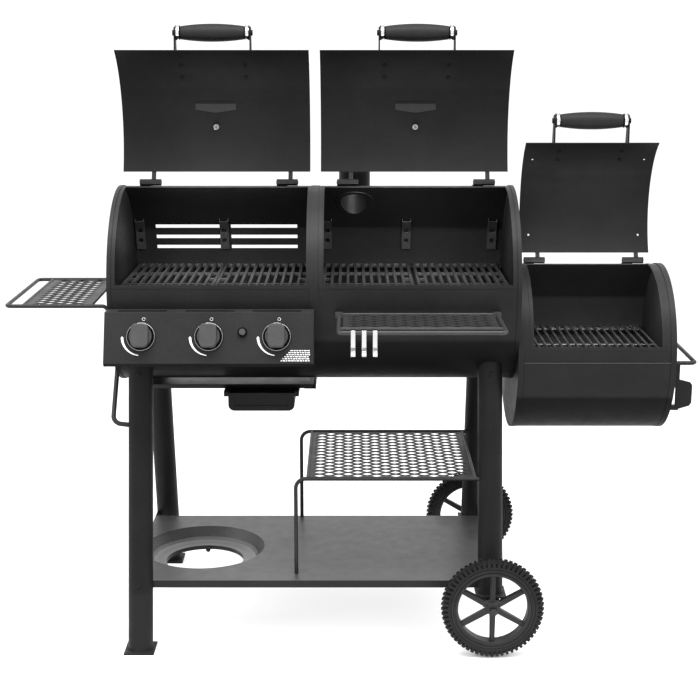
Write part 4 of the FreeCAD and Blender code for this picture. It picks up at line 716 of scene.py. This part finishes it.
def weld_ring(name, centre, radius, bead, axis=Z_AXIS, ripples=40):
    """A weld bead with stacked ripples round a joint."""
    side = side_of(axis)
    across = axis.cross(side)
    path = []
    for k in range(ripples * 3):
        angle = 2 * math.pi * k / (ripples * 3)
        reach = radius + bead * 0.18 * math.cos(angle * ripples)
        path.append(centre + (side * math.cos(angle) + across * math.sin(angle)) * reach)
    mesh_data = bmesh.new()
    tube(mesh_data, path, bead, 10, closed=True)
    piece(name, mesh_data, "smoker_frame", FINISH["frame_paint"], 60)


def foot_welds():
    """Weld beads where the legs meet their foot plates."""
    low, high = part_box("foot_plates")
    half = (high.x - low.x - LEG_SPACING) / 2
    for number, (x, top) in enumerate(((low.x + half, low.z + FOOT_PLATE_T), (high.x - half, high.z))):
        for word, y in (("front", low.y), ("rear", high.y)):
            inward = 1 if word == "front" else -1
            centre = Vector((x, y + inward * LEG_FROM_PLATE_EDGE[number], top))
            weld_ring("foot_weld_%s_%d" % (word, number), centre, FOOT_WELD_R, FOOT_WELD_BEAD)


# ---- floor, light, camera ------------------------------------------------------------------------
def floor():
    """Plain pale floor."""
    mesh_data = bmesh.new()
    bmesh.ops.create_grid(mesh_data, x_segments=1, y_segments=1, size=40)
    mesh = bpy.data.meshes.new("floor")
    mesh_data.to_mesh(mesh)
    mesh_data.free()
    material, tree, shader = nodes_of("pale_floor")
    tree.links.new(ramp(tree, noise(tree, 2.0), (0.93, 0.93, 0.93), (0.95, 0.95, 0.95)),
                   shader.inputs["Base Color"])
    shader.inputs["Roughness"].default_value = 0.9
    shader.inputs["Specular IOR Level"].default_value = 0.1
    mesh.materials.append(material)
    made = bpy.data.objects.new("floor", mesh)
    made.location.z = -0.0005
    bpy.context.scene.collection.objects.link(made)


def area_light(name, place, target, size, power):
    """A soft rectangular light aimed at a point."""
    data = bpy.data.lights.new(name, "AREA")
    data.shape = "RECTANGLE"
    data.size, data.size_y = size
    data.energy = power
    made = bpy.data.objects.new(name, data)
    made.location = place
    made.rotation_euler = (Vector(target) - Vector(place)).to_track_quat("-Z", "Y").to_euler()
    bpy.context.scene.collection.objects.link(made)


def studio():
    """White surroundings and soft lights round the part, in its chambers and over the floor."""
    world = bpy.data.worlds.new("studio")
    world.use_nodes = True
    tree = world.node_tree
    tree.nodes.clear()
    sky = tree.nodes.new("ShaderNodeBackground")
    sky.inputs["Color"].default_value = (1, 1, 1, 1)
    sky.inputs["Strength"].default_value = WORLD_STRENGTH
    out = tree.nodes.new("ShaderNodeOutputWorld")
    tree.links.new(sky.outputs["Background"], out.inputs["Surface"])
    bpy.context.scene.world = world
    for name, place, size, power in SOFTBOXES:
        area_light(name, place, LIT_POINT, size, power)
    area_light("under", (-0.05, 0.0, 0.145), (-0.05, 0.0, 0.0), (1.5, 1.1), UNDER_POWER)
    for name, x, height in CHAMBERS:
        target = (x, BARREL_MID.y + 0.2, height + 0.01)
        place = (x, BARREL_MID.y - 0.1, height)
        area_light(name + "_chamber", place, target, (0.34, 0.05), CHAMBER_POWER)


def camera():
    data = bpy.data.cameras.new("camera")
    data.lens, data.sensor_width = LENS, SENSOR
    made = bpy.data.objects.new("camera", data)
    made.location = BARREL_MID + CAMERA_FROM_BARREL
    made.rotation_euler = (math.pi / 2 - CAMERA_DOWN, 0, 0)
    bpy.context.scene.collection.objects.link(made)
    bpy.context.scene.camera = made


# ---- everything ---------------------------------------------------------------------------------
camera()
studio()
floor()
bpy.context.scene.view_settings.view_transform = "Standard"
finish_nodes()
for wheel_name in ("front", "rear"):
    tyre(wheel_name)
    wheel(wheel_name)
for lid_name in ("gas_lid", "coal_lid", "firebox_lid"):
    grip(lid_name)
for knob_name in ("left", "middle", "right"):
    panel_marks(knob_name)
    knob_trim(knob_name)
panel_label()
firebox_seam()
foot_welds()
FIREBOX_MID = sum(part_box("firebox_caps"), Vector()) / 2
for lid_name, ends in LARGE_LIDS.items():
    large = Lid(lid_name, BARREL_MID.z)
    middle_x = sum(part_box(lid_name + "_grip"), Vector()).x / 2
    lid_hem(large, LARGE_LID_R + HEM_GAP, LARGE_LID_ARC, hem_ends(ends))
    dial(large, LARGE_LID_R + DIAL_GAP, GAUGE_ANGLE, middle_x)
    lid_plate_face(large, LARGE_LID_R + PLATE_GAP, middle_x)
small = Lid("firebox_lid", FIREBOX_MID.z)
lid_hem(small, SMALL_LID_R + HEM_GAP, SMALL_LID_ARC, hem_ends(SMALL_LID_ENDS))
